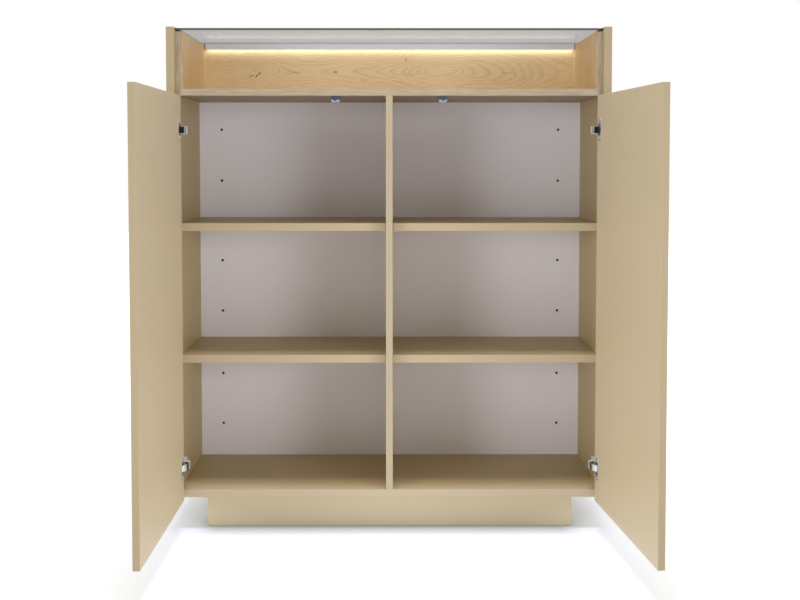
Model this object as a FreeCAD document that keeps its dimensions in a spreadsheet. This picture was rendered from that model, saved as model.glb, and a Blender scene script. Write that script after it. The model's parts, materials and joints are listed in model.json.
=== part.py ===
import FreeCAD, Part
import Sketcher
import os
from FreeCAD import Placement, Rotation, Vector

# A two-door sideboard with a lit display niche under a glass top.
# X runs to the right, Y into the cupboard and Z up. The origin lies on the floor under the middle
# of the carcass. Lengths are in millimetres. Both doors stand open, which is their rest position.

SIZES = {
    # Carcass
    "width": 1240.0,
    "depth": 450.0,
    "height": 1420.0,
    "side_thickness": 22.0,
    "bottom_thickness": 22.0,
    "divider_thickness": 19.0,
    "carcass_setback": 21.0,        # the inner boards start this far behind the sides' front edges
    "edge_chamfer": 0.7,
    "overrun": 2.0,                 # every cutting tool runs this far past its face

    # Backs, which stand in a rebate of the side panels
    "back_thickness": 8.0,
    "back_recess": 4.5,
    "rebate_width": 10.0,
    "back_side_gap": 1.0,
    "back_joint_gap": 1.0,
    "back_hole_radius": 4.0,
    "back_hole_depth": 6.0,
    "back_hole_pitch": 160.0,
    "back_hole_side_distance": 69.0,

    # Plinth
    "plinth_height": 89.0,
    "plinth_thickness": 19.0,
    "plinth_end_setback": 98.5,
    "plinth_front_setback": 47.0,
    "plinth_back_setback": 30.0,
    "glide_height": 2.0,
    "glide_radius": 9.0,

    # Niche
    "niche_drop": 190.0,            # from the sides' top down to the niche floor's underside
    "niche_board": 19.0,
    "glass_drop": 2.0,
    "glass_thickness": 6.0,
    "glass_seal_width": 4.5,
    "glass_back_setback": 2.0,
    "pad_height": 3.5,
    "pad_radius": 3.8,

    # Light under the back edge of the glass
    "light_height": 16.8,
    "light_depth": 14.0,
    "light_wall": 1.5,
    "light_end_gap": 2.5,
    "light_lip": 1.0,
    "diffuser_thickness": 1.5,
    "diffuser_recess": 0.5,
    "led_tape_width": 8.0,
    "led_tape_thickness": 1.2,

    # Shelves and their pins
    "shelf_thickness": 22.0,
    "upper_shelf_level": 869.5,
    "lower_shelf_level": 490.5,
    "shelf_setback": 49.0,
    "shelf_side_gap": 1.0,
    "shelf_back_gap": 2.0,
    "shelf_pin_radius": 2.5,
    "shelf_pin_length": 15.0,
    "shelf_pin_depth": 7.0,
    "shelf_pin_inset": 45.0,
    "fit_clearance": 0.05,          # between a pin, dowel or screw and its bore
    "seat_gap": 0.2,                # between a pin and the board that it carries

    # Dowels of the carcass
    "dowel_radius": 4.0,
    "dowel_length": 30.0,
    "dowel_depth": 13.0,            # the share of a dowel that stands in the panel's face
    "dowel_inset": 60.0,

    # Doors, inset between the side panels
    "door_thickness": 18.0,
    "door_side_gap": 2.0,
    "door_middle_gap": 3.0,
    "door_top_gap": 0.5,
    "door_bottom_lap": 3.0,
    "pivot_side_gap": 0.5,          # the turning axis lies this far inside the side panel's face
    "pivot_front_gap": 0.5,         # and this far behind the front

    # Concealed hinges, measured from the door's turning axis where nothing else is said
    "hinge_inset": 96.0,
    "hinge_sheet": 1.2,
    "hinge_clearance": 0.3,
    "cup_radius": 17.5,
    "cup_depth": 11.5,
    "cup_edge": 5.0,
    "cup_wall": 0.8,
    "cup_bottom_fillet": 1.5,
    "cup_bore_clearance": 0.1,
    "flange_length": 62.0,
    "flange_width": 22.0,
    "flange_offset": 5.0,
    "flange_rim": 2.0,
    "flange_corner": 6.0,
    "cup_screw_spacing": 48.0,
    "arm_width": 21.0,
    "arm_gap": 0.5,
    "arm_nose_level": 30.5,
    "arm_nose_length": 11.0,
    "arm_slope_length": 18.0,
    "arm_rear_level": 13.5,
    "arm_rear_length": 32.0,
    "arm_nose_bottom": 9.0,
    "arm_rear_bottom": 5.0,
    "arm_screw_spacing": 16.0,
    "arm_screw_inset": 8.0,
    "plate_setback": 56.5,
    "plate_wing_height": 48.0,
    "plate_wing_width": 18.0,
    "plate_thickness": 2.5,
    "plate_block_length": 34.0,
    "plate_corner": 5.0,
    "plate_screw_spacing": 32.0,
    "outer_link_radius": 28.7,
    "inner_link_radius": 26.5,
    "outer_link_thickness": 1.2,
    "inner_link_thickness": 2.0,

    # Screws
    "hinge_screw_radius": 1.75,
    "hinge_screw_head_radius": 3.4,
    "hinge_screw_head": 1.4,
    "cup_screw_length": 12.0,
    "plate_screw_radius": 2.5,
    "plate_screw_length": 12.0,
    "arm_screw_radius": 2.0,
    "arm_screw_length": 6.0,
    "back_screw_radius": 1.75,
    "back_screw_length": 18.0,
    "back_screw_head_radius": 3.5,
    "back_screw_head": 1.6,

    # Push latches under the niche floor
    "latch_offset": 151.5,
    "latch_width": 24.0,
    "latch_height": 18.0,
    "latch_length": 62.0,
    "latch_front_gap": 0.5,
    "latch_corner": 5.0,
    "latch_ear_length": 10.0,
    "latch_ear_thickness": 3.0,
    "latch_screw_length": 14.0,
    "plunger_radius": 4.5,
    "plunger_length": 44.0,
    "plunger_tip_radius": 6.0,
    "plunger_tip_length": 2.2,
    "plunger_gap": 0.3,
    "plunger_clearance": 0.08,
    "plunger_travel": 3.0,
}

# Turning angles in degrees, counted from the closed door
LEFT_DOOR_OPEN = 90.0
RIGHT_DOOR_OPEN = 95.0
OUTER_LINK_RATIO = 0.40
INNER_LINK_RATIO = 0.82
OUTER_LINK_START = 27.0
INNER_LINK_START = 17.5
LINK_ARC = 60.0

# Height of the middle of each pair of back holes, as a share of its compartment's height
BACK_HOLE_SHARES = {"upper": 0.542, "middle": 0.457, "lower": 0.510}

doc = FreeCAD.newDocument("Sideboard")
sheet = doc.addObject("Spreadsheet::Sheet", "sizes")
for row, (alias, number) in enumerate(SIZES.items(), start=1):
    sheet.set(f"A{row}", alias)
    sheet.set(f"B{row}", str(number))
    sheet.setAlias(f"B{row}", alias)
doc.recompute()

# Planes and places that several pieces share, as expressions of the sheet
MIDDLE = "0"
FRONT = "(-sizes.depth / 2)"
REAR = "(sizes.depth / 2)"
INNER = "(sizes.width / 2 - sizes.side_thickness)"
BASE = "(sizes.glide_height + sizes.plinth_height)"
FLOOR = f"({BASE} + sizes.bottom_thickness)"
CARCASS_FRONT = f"({FRONT} + sizes.carcass_setback)"
BACK_REAR = f"({REAR} - sizes.back_recess)"
BACK_FACE = f"({BACK_REAR} - sizes.back_thickness)"
NICHE_UNDER = "(sizes.height - sizes.niche_drop)"
NICHE_FLOOR = f"({NICHE_UNDER} + sizes.niche_board)"
NICHE_INNER = f"({INNER} - sizes.niche_board)"
GLASS_TOP = "(sizes.height - sizes.glass_drop)"
GLASS_UNDER = f"({GLASS_TOP} - sizes.glass_thickness)"
NICHE_TOP = f"({GLASS_UNDER} - sizes.pad_height)"
DIVIDER_HALF = "(sizes.divider_thickness / 2)"
SHELF_FRONT = f"({CARCASS_FRONT} + sizes.shelf_setback)"
SHELF_REAR = f"({BACK_FACE} - sizes.shelf_back_gap)"
DOOR_TOP = f"({NICHE_UNDER} - sizes.door_top_gap)"
DOOR_BOTTOM = f"({BASE} - sizes.door_bottom_lap)"
DOOR_INNER = f"({FRONT} + sizes.door_thickness)"
PIVOT_X = f"({INNER} - sizes.pivot_side_gap)"
PIVOT_Y = f"({FRONT} + sizes.pivot_front_gap)"
LEVELS = {
    "upper": f"({DOOR_TOP} - sizes.hinge_inset)",
    "lower": f"({DOOR_BOTTOM} + sizes.hinge_inset)",
}
SHELF_LEVELS = {"upper": "sizes.upper_shelf_level", "lower": "sizes.lower_shelf_level"}
SIDES = {"left": -1, "right": 1}

nodes = []


def value(expression):
    """Return the number that an expression of the sheet gives."""
    result = sheet.evalExpression(expression)
    return float(getattr(result, "Value", result))


def bind(item, prop, expression):
    """Bind one property of an object to an expression of the sheet."""
    item.setExpression(prop, expression)


def keep(item, label):
    """Give a finished piece its name and list it for writing."""
    item.Label = label
    nodes.append(item)
    return item


def plane_of(body, role):
    """Return one of the body's own origin planes."""
    return next(part for part in body.Origin.OriginFeatures if part.Role == role)


def new_sketch(body, role, offset):
    """Start a sketch on an origin plane of the body, moved along the plane's normal."""
    drawing = body.newObject("Sketcher::SketchObject", "sketch")
    drawing.AttachmentSupport = [(plane_of(body, role), "")]
    drawing.MapMode = "FlatFace"
    bind(drawing, "AttachmentOffset.Base.z", offset)
    return drawing


LINE_START = 1
LINE_END = 2
CIRCLE_CENTRE = 3


def fix_point(drawing, index, corner, expressions):
    """Tie one point of a sketch to the sketch's origin by two bound distances."""
    for kind, expression in zip(("DistanceX", "DistanceY"), expressions):
        rule = Sketcher.Constraint(kind, -1, 1, index, corner, value(expression))
        number = drawing.addConstraint(rule)
        bind(drawing, f"Constraints[{number}]", expression)


def draw_outline(drawing, outline):
    """Draw a closed outline of straight lines through points given as expressions."""
    corners = [Vector(value(across), value(up), 0) for across, up in outline]
    count = len(corners)
    first = drawing.GeometryCount
    for index in range(count):
        line = Part.LineSegment(corners[index], corners[(index + 1) % count])
        drawing.addGeometry(line, False)
    for index in range(count):
        after = first + (index + 1) % count
        rule = Sketcher.Constraint("Coincident", first + index, LINE_END, after, LINE_START)
        drawing.addConstraint(rule)
    for index, expressions in enumerate(outline):
        fix_point(drawing, first + index, LINE_START, expressions)


def draw_circles(drawing, centres, radius):
    """Draw equal circles about centres given as expressions."""
    for across, up in centres:
        centre = Vector(value(across), value(up), 0)
        index = drawing.addGeometry(Part.Circle(centre, Vector(0, 0, 1), value(radius)), False)
        fix_point(drawing, index, CIRCLE_CENTRE, (across, up))
        number = drawing.addConstraint(Sketcher.Constraint("Radius", index, value(radius)))
        bind(drawing, f"Constraints[{number}]", radius)


def rectangle(left, low, right, high):
    """Return the outline of a rectangle between two corners."""
    return [(left, low), (right, low), (right, high), (left, high)]


def new_body(name):
    """Start a body for one piece."""
    return doc.addObject("PartDesign::Body", name)


def facing(role):
    """Say whether a pad along +X, +Y or +Z has to be reversed on this plane."""
    return role == "XZ_Plane"


def along(role, place):
    """Return the sketch offset that brings an origin plane to a place on its world axis."""
    return f"-({place})" if facing(role) else f"({place})"


def pad(body, role, outline, start, length, circles=None, radius=None):
    """Pad an outline, or circles, from a place along the plane's world axis."""
    drawing = new_sketch(body, role, along(role, start))
    if outline:
        draw_outline(drawing, outline)
    if circles:
        draw_circles(drawing, circles, radius)
    drawing.Visibility = False
    solid = body.newObject("PartDesign::Pad", "pad")
    solid.Profile = drawing
    solid.Reversed = facing(role)
    bind(solid, "Length", length)
    doc.recompute()
    return solid


def cut(body, role, outline, start, length, circles=None, radius=None):
    """Cut a pocket from a place onwards along the plane's world axis, and test that it cuts."""
    before = body.Shape.Volume
    drawing = new_sketch(body, role, along(role, start))
    if outline:
        draw_outline(drawing, outline)
    if circles:
        draw_circles(drawing, circles, radius)
    drawing.Visibility = False
    pocket = body.newObject("PartDesign::Pocket", "pocket")
    pocket.Profile = drawing
    pocket.Reversed = not facing(role)
    bind(pocket, "Length", length)
    doc.recompute()
    if not body.Shape.Volume < before:
        raise ValueError(f"a pocket of {body.Name} cuts nothing")
    return pocket


def soften(body):
    """Break every edge of a board with a small chamfer."""
    base = body.Tip
    chamfer = body.newObject("PartDesign::Chamfer", "chamfer")
    chamfer.Base = (base, [""])
    chamfer.UseAllEdges = True
    bind(chamfer, "Size", "sizes.edge_chamfer")
    doc.recompute()
    return chamfer


def board(label, role, outline, start, thickness, softened=True):
    """Make a board from its outline, with broken edges unless it is glued edge to edge."""
    body = new_body(label)
    pad(body, role, outline, start, thickness)
    if softened:
        soften(body)
    return keep(body, label)


def place(item, across, deep, up):
    """Bind the place of a piece to three expressions."""
    for axis, expression in (("x", across), ("y", deep), ("z", up)):
        bind(item, f"Placement.Base.{axis}", expression)


def rod(direction, radius, length, across, deep, up):
    """Make a cylinder that starts at a place and runs along a direction."""
    cylinder = doc.addObject("Part::Cylinder", "rod")
    bind(cylinder, "Radius", radius)
    bind(cylinder, "Height", length)
    cylinder.Placement = Placement(Vector(0, 0, 0), Rotation(Vector(0, 0, 1), direction))
    place(cylinder, across, deep, up)
    return cylinder


def joined(parts):
    """Fuse several primitives into one solid."""
    fusion = doc.addObject("Part::MultiFuse", "fusion")
    fusion.Shapes = parts
    return fusion


def group(label, parts):
    """Gather separate solids of one kind under one name."""
    compound = doc.addObject("Part::Compound", label)
    compound.Links = parts
    doc.recompute()
    return keep(compound, label)


def screw(direction, shank, across, deep, up):
    """Make a screw whose head lies on a face and whose shank runs into it.

    shank holds the expressions of the shank's radius and length and of the head's radius and
    height. The direction points from the head into the board.
    """
    radius, length, head_radius, head_height = shank
    out = -direction
    body = rod(direction, radius, length, across, deep, up)
    head = rod(out, head_radius, head_height, across, deep, up)
    return joined([body, head])


def sided(sign, expression):
    """Mirror an expression to the left or the right."""
    return f"({sign} * {expression})"


def pin_places():
    """Return the two depths at which the shelves' pins stand."""
    return (f"({SHELF_FRONT} + sizes.shelf_pin_inset)", f"({SHELF_REAR} - sizes.shelf_pin_inset)")


def pin_level(shelf):
    """Return the height of the pins that carry a shelf."""
    under = f"({SHELF_LEVELS[shelf]} - sizes.shelf_thickness)"
    return f"({under} - sizes.shelf_pin_radius - sizes.seat_gap)"


def pin_rows():
    """Return the centres of all pin bores of one panel face."""
    return [(deep, pin_level(shelf)) for shelf in SHELF_LEVELS for deep in pin_places()]


def dowel_places():
    """Return the two depths at which the carcass dowels stand."""
    return (f"({CARCASS_FRONT} + sizes.dowel_inset)", f"({BACK_FACE} - sizes.dowel_inset)")


DOWEL_BORE = "(sizes.dowel_radius + sizes.fit_clearance)"
DOWEL_REST = "(sizes.dowel_length - sizes.dowel_depth)"
PIN_BORE = "(sizes.shelf_pin_radius + sizes.fit_clearance)"
PIN_BORE_DEPTH = "(sizes.shelf_pin_depth + sizes.seat_gap)"
BOTTOM_MIDDLE = f"({BASE} + sizes.bottom_thickness / 2)"
PLATE_Y = f"({PIVOT_Y} + sizes.plate_setback)"


def plate_screw_places():
    """Return the places of the four mounting-plate screws of one side panel."""
    return [(PLATE_Y, f"({LEVELS[level]} + {step} * sizes.plate_screw_spacing / 2)")
            for level in LEVELS for step in (-1, 1)]


def make_side_panel(side, sign):
    """A side panel with a rebate for the backs and bores for pins, dowels and hinge plates."""
    outer = sided(sign, "sizes.width / 2")
    inner = sided(sign, INNER)
    step = f"({inner} + {sign} * sizes.rebate_width)"
    outline = [(outer, FRONT), (inner, FRONT), (inner, BACK_FACE), (step, BACK_FACE),
               (step, REAR), (outer, REAR)]
    label = f"{side}_side_panel"
    body = new_body(label)
    pad(body, "XY_Plane", outline, BASE, f"(sizes.height - {BASE})")
    soften(body)
    bores = (
        (pin_rows(), PIN_BORE, PIN_BORE_DEPTH),
        ([(deep, BOTTOM_MIDDLE) for deep in dowel_places()], DOWEL_BORE,
         "(sizes.dowel_depth + sizes.seat_gap)"),
        (plate_screw_places(), "(sizes.plate_screw_radius + sizes.fit_clearance)",
         "(sizes.plate_screw_length - sizes.plate_thickness + sizes.seat_gap)"),
    )
    for centres, radius, depth in bores:
        start = inner if sign > 0 else f"({inner} - {depth})"
        cut(body, "YZ_Plane", None, start, depth, circles=centres, radius=radius)
    return keep(body, label)


def make_bottom_panel():
    """The cupboard's floor between the sides, bored for its dowels."""
    body = new_body("bottom_panel")
    outline = rectangle(f"-{INNER}", CARCASS_FRONT, INNER, BACK_FACE)
    pad(body, "XY_Plane", outline, BASE, "sizes.bottom_thickness")
    soften(body)
    ends = [(deep, BOTTOM_MIDDLE) for deep in dowel_places()]
    depth = f"({DOWEL_REST} + sizes.seat_gap)"
    cut(body, "YZ_Plane", None, f"(-{INNER})", depth, circles=ends, radius=DOWEL_BORE)
    cut(body, "YZ_Plane", None, f"({INNER} - {depth})", depth, circles=ends, radius=DOWEL_BORE)
    depth = "(sizes.dowel_depth + sizes.seat_gap)"
    middle = [(MIDDLE, deep) for deep in dowel_places()]
    cut(body, "XY_Plane", None, f"({FLOOR} - {depth})", depth, circles=middle, radius=DOWEL_BORE)
    bore_for_back_screws(body, back_screw_places()["bottom"])
    return keep(body, "bottom_panel")


def make_divider():
    """The upright board between the two halves, with pin bores on both faces."""
    body = new_body("divider_panel")
    outline = rectangle(f"-{DIVIDER_HALF}", CARCASS_FRONT, DIVIDER_HALF, BACK_FACE)
    pad(body, "XY_Plane", outline, FLOOR, f"({NICHE_UNDER} - {FLOOR})")
    soften(body)
    cut(body, "YZ_Plane", None, f"(-{DIVIDER_HALF})", PIN_BORE_DEPTH, pin_rows(), PIN_BORE)
    right = f"({DIVIDER_HALF} - {PIN_BORE_DEPTH})"
    cut(body, "YZ_Plane", None, right, PIN_BORE_DEPTH, pin_rows(), PIN_BORE)
    depth = f"({DOWEL_REST} + sizes.seat_gap)"
    middle = [(MIDDLE, deep) for deep in dowel_places()]
    cut(body, "XY_Plane", None, FLOOR, depth, circles=middle, radius=DOWEL_BORE)
    top = f"({NICHE_UNDER} - {depth})"
    cut(body, "XY_Plane", None, top, depth, circles=middle, radius=DOWEL_BORE)
    bore_for_back_screws(body, back_screw_places()["divider"])
    return keep(body, "divider_panel")


def back_hole_places():
    """Return the twelve hole centres: one pair above the other near the outer side of each
    compartment."""
    bounds = {
        "upper": ("sizes.upper_shelf_level", NICHE_UNDER),
        "middle": ("sizes.lower_shelf_level", "(sizes.upper_shelf_level - sizes.shelf_thickness)"),
        "lower": (FLOOR, "(sizes.lower_shelf_level - sizes.shelf_thickness)"),
    }
    places = []
    for name, (low, high) in bounds.items():
        middle = f"({low} + {BACK_HOLE_SHARES[name]} * ({high} - {low}))"
        for sign in SIDES.values():
            across = sided(sign, f"({INNER} - sizes.back_hole_side_distance)")
            for step in (-1, 1):
                places.append((across, f"({middle} + {step} * sizes.back_hole_pitch / 2)"))
    return places


BACK_SCREW_SHARES = (-2 / 3, -1 / 3, 1 / 3, 2 / 3)
DIVIDER_SCREW_SHARES = (1 / 4, 1 / 2, 3 / 4)


def back_screw_places():
    """Return the screw places of both backs by the board that each row goes into."""
    under = f"({NICHE_UNDER} + sizes.niche_board / 4)"
    over = f"({NICHE_UNDER} + 3 * sizes.niche_board / 4)"
    return {
        "bottom": [(f"({share} * {INNER})", BOTTOM_MIDDLE) for share in BACK_SCREW_SHARES],
        "divider": [(MIDDLE, f"({FLOOR} + {share} * ({NICHE_UNDER} - {FLOOR}))")
                    for share in DIVIDER_SCREW_SHARES],
        "floor_under": [(f"({share} * {INNER})", under) for share in BACK_SCREW_SHARES],
        "floor_over": [(f"({share} * {INNER})", over) for share in BACK_SCREW_SHARES],
    }


BACK_WIDTH = f"({INNER} + sizes.rebate_width - sizes.back_side_gap)"
BACK_JOINT = f"({NICHE_UNDER} + sizes.niche_board / 2)"
BACK_SCREW_BORE = "(sizes.back_screw_radius + sizes.fit_clearance)"


def make_backs():
    """The cupboard's back with its twelve blind holes, and the niche's oak back above it."""
    rows = back_screw_places()
    lower = rows["bottom"] + rows["divider"] + rows["floor_under"]
    upper = rows["floor_over"]
    body = new_body("back_panel")
    high = f"({BACK_JOINT} - sizes.back_joint_gap / 2)"
    outline = rectangle(f"-{BACK_WIDTH}", f"({BASE} + sizes.back_joint_gap)", BACK_WIDTH, high)
    pad(body, "XZ_Plane", outline, BACK_FACE, "sizes.back_thickness")
    cut(body, "XZ_Plane", None, BACK_FACE, "sizes.back_hole_depth",
        circles=back_hole_places(), radius="sizes.back_hole_radius")
    cut(body, "XZ_Plane", None, BACK_FACE, "sizes.back_thickness",
        circles=lower, radius=BACK_SCREW_BORE)
    keep(body, "back_panel")
    body = new_body("niche_back")
    low = f"({BACK_JOINT} + sizes.back_joint_gap / 2)"
    outline = rectangle(f"-{BACK_WIDTH}", low, BACK_WIDTH, NICHE_TOP)
    pad(body, "XZ_Plane", outline, BACK_FACE, "sizes.back_thickness")
    cut(body, "XZ_Plane", None, BACK_FACE, "sizes.back_thickness",
        circles=upper, radius=BACK_SCREW_BORE)
    keep(body, "niche_back")
    shank = ("sizes.back_screw_radius", "sizes.back_screw_length",
             "sizes.back_screw_head_radius", "sizes.back_screw_head")
    screws = [screw(Vector(0, -1, 0), shank, across, BACK_REAR, up)
              for across, up in lower + upper]
    group("back_screws", screws)


def bore_for_back_screws(body, centres):
    """Bore the pilot holes of the back screws into a board's rear edge."""
    depth = "(sizes.back_screw_length - sizes.back_thickness + sizes.seat_gap)"
    cut(body, "XZ_Plane", None, f"({BACK_FACE} - {depth})", depth, circles=centres,
        radius=BACK_SCREW_BORE)


def make_niche():
    """The oak lining of the niche: a floor and two sides, mitred at the corners."""
    rows = back_screw_places()
    body = new_body("niche_floor")
    outline = [(f"-{INNER}", NICHE_UNDER), (INNER, NICHE_UNDER),
               (NICHE_INNER, NICHE_FLOOR), (f"-{NICHE_INNER}", NICHE_FLOOR)]
    pad(body, "XZ_Plane", outline, CARCASS_FRONT, f"({BACK_FACE} - {CARCASS_FRONT})")
    depth = "(sizes.dowel_depth + sizes.seat_gap)"
    middle = [(MIDDLE, deep) for deep in dowel_places()]
    cut(body, "XY_Plane", None, NICHE_UNDER, depth, circles=middle, radius=DOWEL_BORE)
    bore_for_back_screws(body, rows["floor_under"] + rows["floor_over"])
    depth = "(sizes.latch_screw_length - sizes.latch_ear_thickness + sizes.seat_gap)"
    cut(body, "XY_Plane", None, NICHE_UNDER, depth, circles=latch_screw_places(),
        radius="(sizes.hinge_screw_radius + sizes.fit_clearance)")
    keep(body, "niche_floor")
    for side, sign in SIDES.items():
        outer = sided(sign, INNER)
        inner = sided(sign, NICHE_INNER)
        outline = [(outer, NICHE_UNDER), (inner, NICHE_FLOOR), (inner, NICHE_TOP),
                   (outer, NICHE_TOP)]
        board(f"niche_{side}_side", "XZ_Plane", outline, CARCASS_FRONT,
              f"({BACK_FACE} - {CARCASS_FRONT})", softened=False)


SIDE_PAD_SHARES = (1 / 10, 1 / 2, 9 / 10)
BACK_PAD_SHARES = (-1 / 2, 0, 1 / 2)


def make_glass():
    """The glass top between the side panels, on soft pads, with a dark seal at each end."""
    half = f"({INNER} - sizes.glass_seal_width)"
    rear = f"({REAR} - sizes.glass_back_setback)"
    board("glass_top", "XY_Plane", rectangle(f"-{half}", CARCASS_FRONT, half, rear),
          GLASS_UNDER, "sizes.glass_thickness")
    for side, sign in SIDES.items():
        outline = rectangle(sided(sign, half), CARCASS_FRONT, sided(sign, INNER), rear)
        board(f"glass_{side}_seal", "XY_Plane", outline, GLASS_UNDER, "sizes.glass_thickness",
              softened=False)
    pads = []
    for sign in SIDES.values():
        across = sided(sign, f"({INNER} - sizes.niche_board / 2)")
        for share in SIDE_PAD_SHARES:
            deep = f"({CARCASS_FRONT} + {share} * ({BACK_FACE} - {CARCASS_FRONT}))"
            pads.append(rod(Vector(0, 0, 1), "sizes.pad_radius", "sizes.pad_height",
                            across, deep, NICHE_TOP))
    for share in BACK_PAD_SHARES:
        deep = f"({BACK_FACE} + sizes.back_thickness / 2)"
        pads.append(rod(Vector(0, 0, 1), "sizes.pad_radius", "sizes.pad_height",
                        f"({share} * {NICHE_INNER})", deep, NICHE_TOP))
    group("glass_pads", pads)


LIGHT_HALF = f"({NICHE_INNER} - sizes.light_end_gap)"
LIGHT_FRONT = f"({BACK_FACE} - sizes.light_depth)"
LIGHT_TOP = f"({GLASS_UNDER} - sizes.seat_gap)"
LIGHT_UNDER = f"({LIGHT_TOP} - sizes.light_height)"
LIGHT_CEILING = f"({LIGHT_TOP} - sizes.light_wall)"


def make_light():
    """An aluminium channel open downwards, with a light tape inside and a diffuser below it."""
    length = f"(2 * {LIGHT_HALF})"
    body = new_body("light_profile")
    pad(body, "YZ_Plane", rectangle(LIGHT_FRONT, LIGHT_UNDER, BACK_FACE, LIGHT_TOP),
        f"-{LIGHT_HALF}", length)
    front = f"({LIGHT_FRONT} + sizes.light_wall)"
    rear = f"({BACK_FACE} - sizes.light_wall)"
    shelf = f"({LIGHT_UNDER} + sizes.diffuser_recess)"
    ledge = f"({shelf} + sizes.diffuser_thickness + sizes.seat_gap)"
    lip = "sizes.light_lip"
    outline = [(f"({front})", f"({LIGHT_UNDER} - sizes.overrun)"),
               (f"({rear})", f"({LIGHT_UNDER} - sizes.overrun)"),
               (f"({rear})", ledge), (f"({rear} - {lip})", ledge),
               (f"({rear} - {lip})", LIGHT_CEILING), (f"({front} + {lip})", LIGHT_CEILING),
               (f"({front} + {lip})", ledge), (f"({front})", ledge)]
    cut(body, "YZ_Plane", outline, f"(-{LIGHT_HALF} - sizes.overrun)",
        f"({length} + 2 * sizes.overrun)")
    keep(body, "light_profile")
    board("light_diffuser", "YZ_Plane",
          rectangle(front, shelf, rear, f"({shelf} + sizes.diffuser_thickness)"),
          f"-{LIGHT_HALF}", length, softened=False)
    middle = f"(({LIGHT_FRONT} + {BACK_FACE}) / 2)"
    board("light_tape", "YZ_Plane",
          rectangle(f"({middle} - sizes.led_tape_width / 2)",
                    f"({LIGHT_CEILING} - sizes.led_tape_thickness)",
                    f"({middle} + sizes.led_tape_width / 2)", LIGHT_CEILING),
          f"(-{LIGHT_HALF} + sizes.light_wall)", f"({length} - 2 * sizes.light_wall)",
          softened=False)


def make_shelves():
    """Four loose shelves on pins."""
    pins = []
    depth = "(sizes.shelf_pin_length - sizes.shelf_pin_depth)"
    for shelf, top in SHELF_LEVELS.items():
        for side, sign in SIDES.items():
            near = sided(sign, f"({DIVIDER_HALF} + sizes.shelf_side_gap)")
            far = sided(sign, f"({INNER} - sizes.shelf_side_gap)")
            board(f"{shelf}_{side}_shelf", "XY_Plane",
                  rectangle(near, SHELF_FRONT, far, SHELF_REAR),
                  f"({top} - sizes.shelf_thickness)", "sizes.shelf_thickness")
            for deep in pin_places():
                outward = Vector(sign, 0, 0)
                starts = (
                    (-outward, sided(sign, f"({INNER} + sizes.shelf_pin_depth)")),
                    (outward, sided(sign, f"({DIVIDER_HALF} - sizes.shelf_pin_depth)")),
                )
                for direction, across in starts:
                    pins.append(rod(direction, "sizes.shelf_pin_radius",
                                    "sizes.shelf_pin_length", across, deep, pin_level(shelf)))
    group("shelf_pins", pins)


def make_plinth():
    """The recessed plinth: a frame of boards with a middle rail, on low glides."""
    outer = "(sizes.width / 2 - sizes.plinth_end_setback)"
    front = f"({FRONT} + sizes.plinth_front_setback)"
    rear = f"({REAR} - sizes.plinth_back_setback)"
    inside_front = f"({front} + sizes.plinth_thickness)"
    inside_rear = f"({rear} - sizes.plinth_thickness)"
    low = "sizes.glide_height"
    tall = "sizes.plinth_height"
    board("plinth_front", "XY_Plane", rectangle(f"-{outer}", front, outer, inside_front),
          low, tall)
    board("plinth_back", "XY_Plane", rectangle(f"-{outer}", inside_rear, outer, rear), low, tall)
    for side, sign in SIDES.items():
        inner = sided(sign, f"({outer} - sizes.plinth_thickness)")
        board(f"plinth_{side}_end", "XY_Plane",
              rectangle(inner, inside_front, sided(sign, outer), inside_rear), low, tall)
    half = "(sizes.plinth_thickness / 2)"
    board("plinth_middle_rail", "XY_Plane", rectangle(f"-{half}", inside_front, half, inside_rear),
          low, tall)
    glides = []
    spots = [(MIDDLE, MIDDLE)]
    for deep in (f"({front} + {half})", f"({rear} - {half})"):
        for across in (f"(-{outer} + {half})", MIDDLE, f"({outer} - {half})"):
            spots.append((across, deep))
    for across, deep in spots:
        glides.append(rod(Vector(0, 0, 1), "sizes.glide_radius", "sizes.glide_height",
                          across, deep, MIDDLE))
    group("plinth_glides", glides)


def make_dowels():
    """Beech dowels between bottom and sides, and between divider, bottom and niche floor."""
    dowels = []
    for deep in dowel_places():
        for sign in SIDES.values():
            across = sided(sign, f"({INNER} + sizes.dowel_depth)")
            dowels.append(rod(Vector(-sign, 0, 0), "sizes.dowel_radius", "sizes.dowel_length",
                              across, deep, BOTTOM_MIDDLE))
        dowels.append(rod(Vector(0, 0, 1), "sizes.dowel_radius", "sizes.dowel_length",
                          MIDDLE, deep, f"({FLOOR} - sizes.dowel_depth)"))
        dowels.append(rod(Vector(0, 0, -1), "sizes.dowel_radius", "sizes.dowel_length",
                          MIDDLE, deep, f"({NICHE_UNDER} + sizes.dowel_depth)"))
    group("carcass_dowels", dowels)


# The pieces that turn with a door are drawn about the turning axis, closed, with X towards the
# cupboard's middle and Y inwards. The right door's pieces are the left ones turned over.

DOOR_WIDTH = f"({INNER} - sizes.door_side_gap - sizes.door_middle_gap / 2)"
DOOR_EDGE = "(sizes.door_side_gap - sizes.pivot_side_gap)"
DOOR_FACE = "(sizes.door_thickness - sizes.pivot_front_gap)"
CUP_CENTRE = f"({DOOR_EDGE} + sizes.cup_edge + sizes.cup_radius)"
FLANGE_TOP = f"({DOOR_FACE} + sizes.hinge_sheet)"
CUP_SCREW_X = f"({CUP_CENTRE} + sizes.flange_offset)"
ARM_FRONT = f"({FLANGE_TOP} + sizes.arm_gap)"
LINK_HALF = "(sizes.arm_width / 2 - sizes.hinge_sheet - sizes.hinge_clearance)"
CHEEK_HALF = "(sizes.arm_width / 2 - sizes.hinge_sheet)"
WALL_X = "(-sizes.pivot_side_gap)"


HALF_TURN = Rotation(Vector(0, 1, 0), 180)


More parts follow.
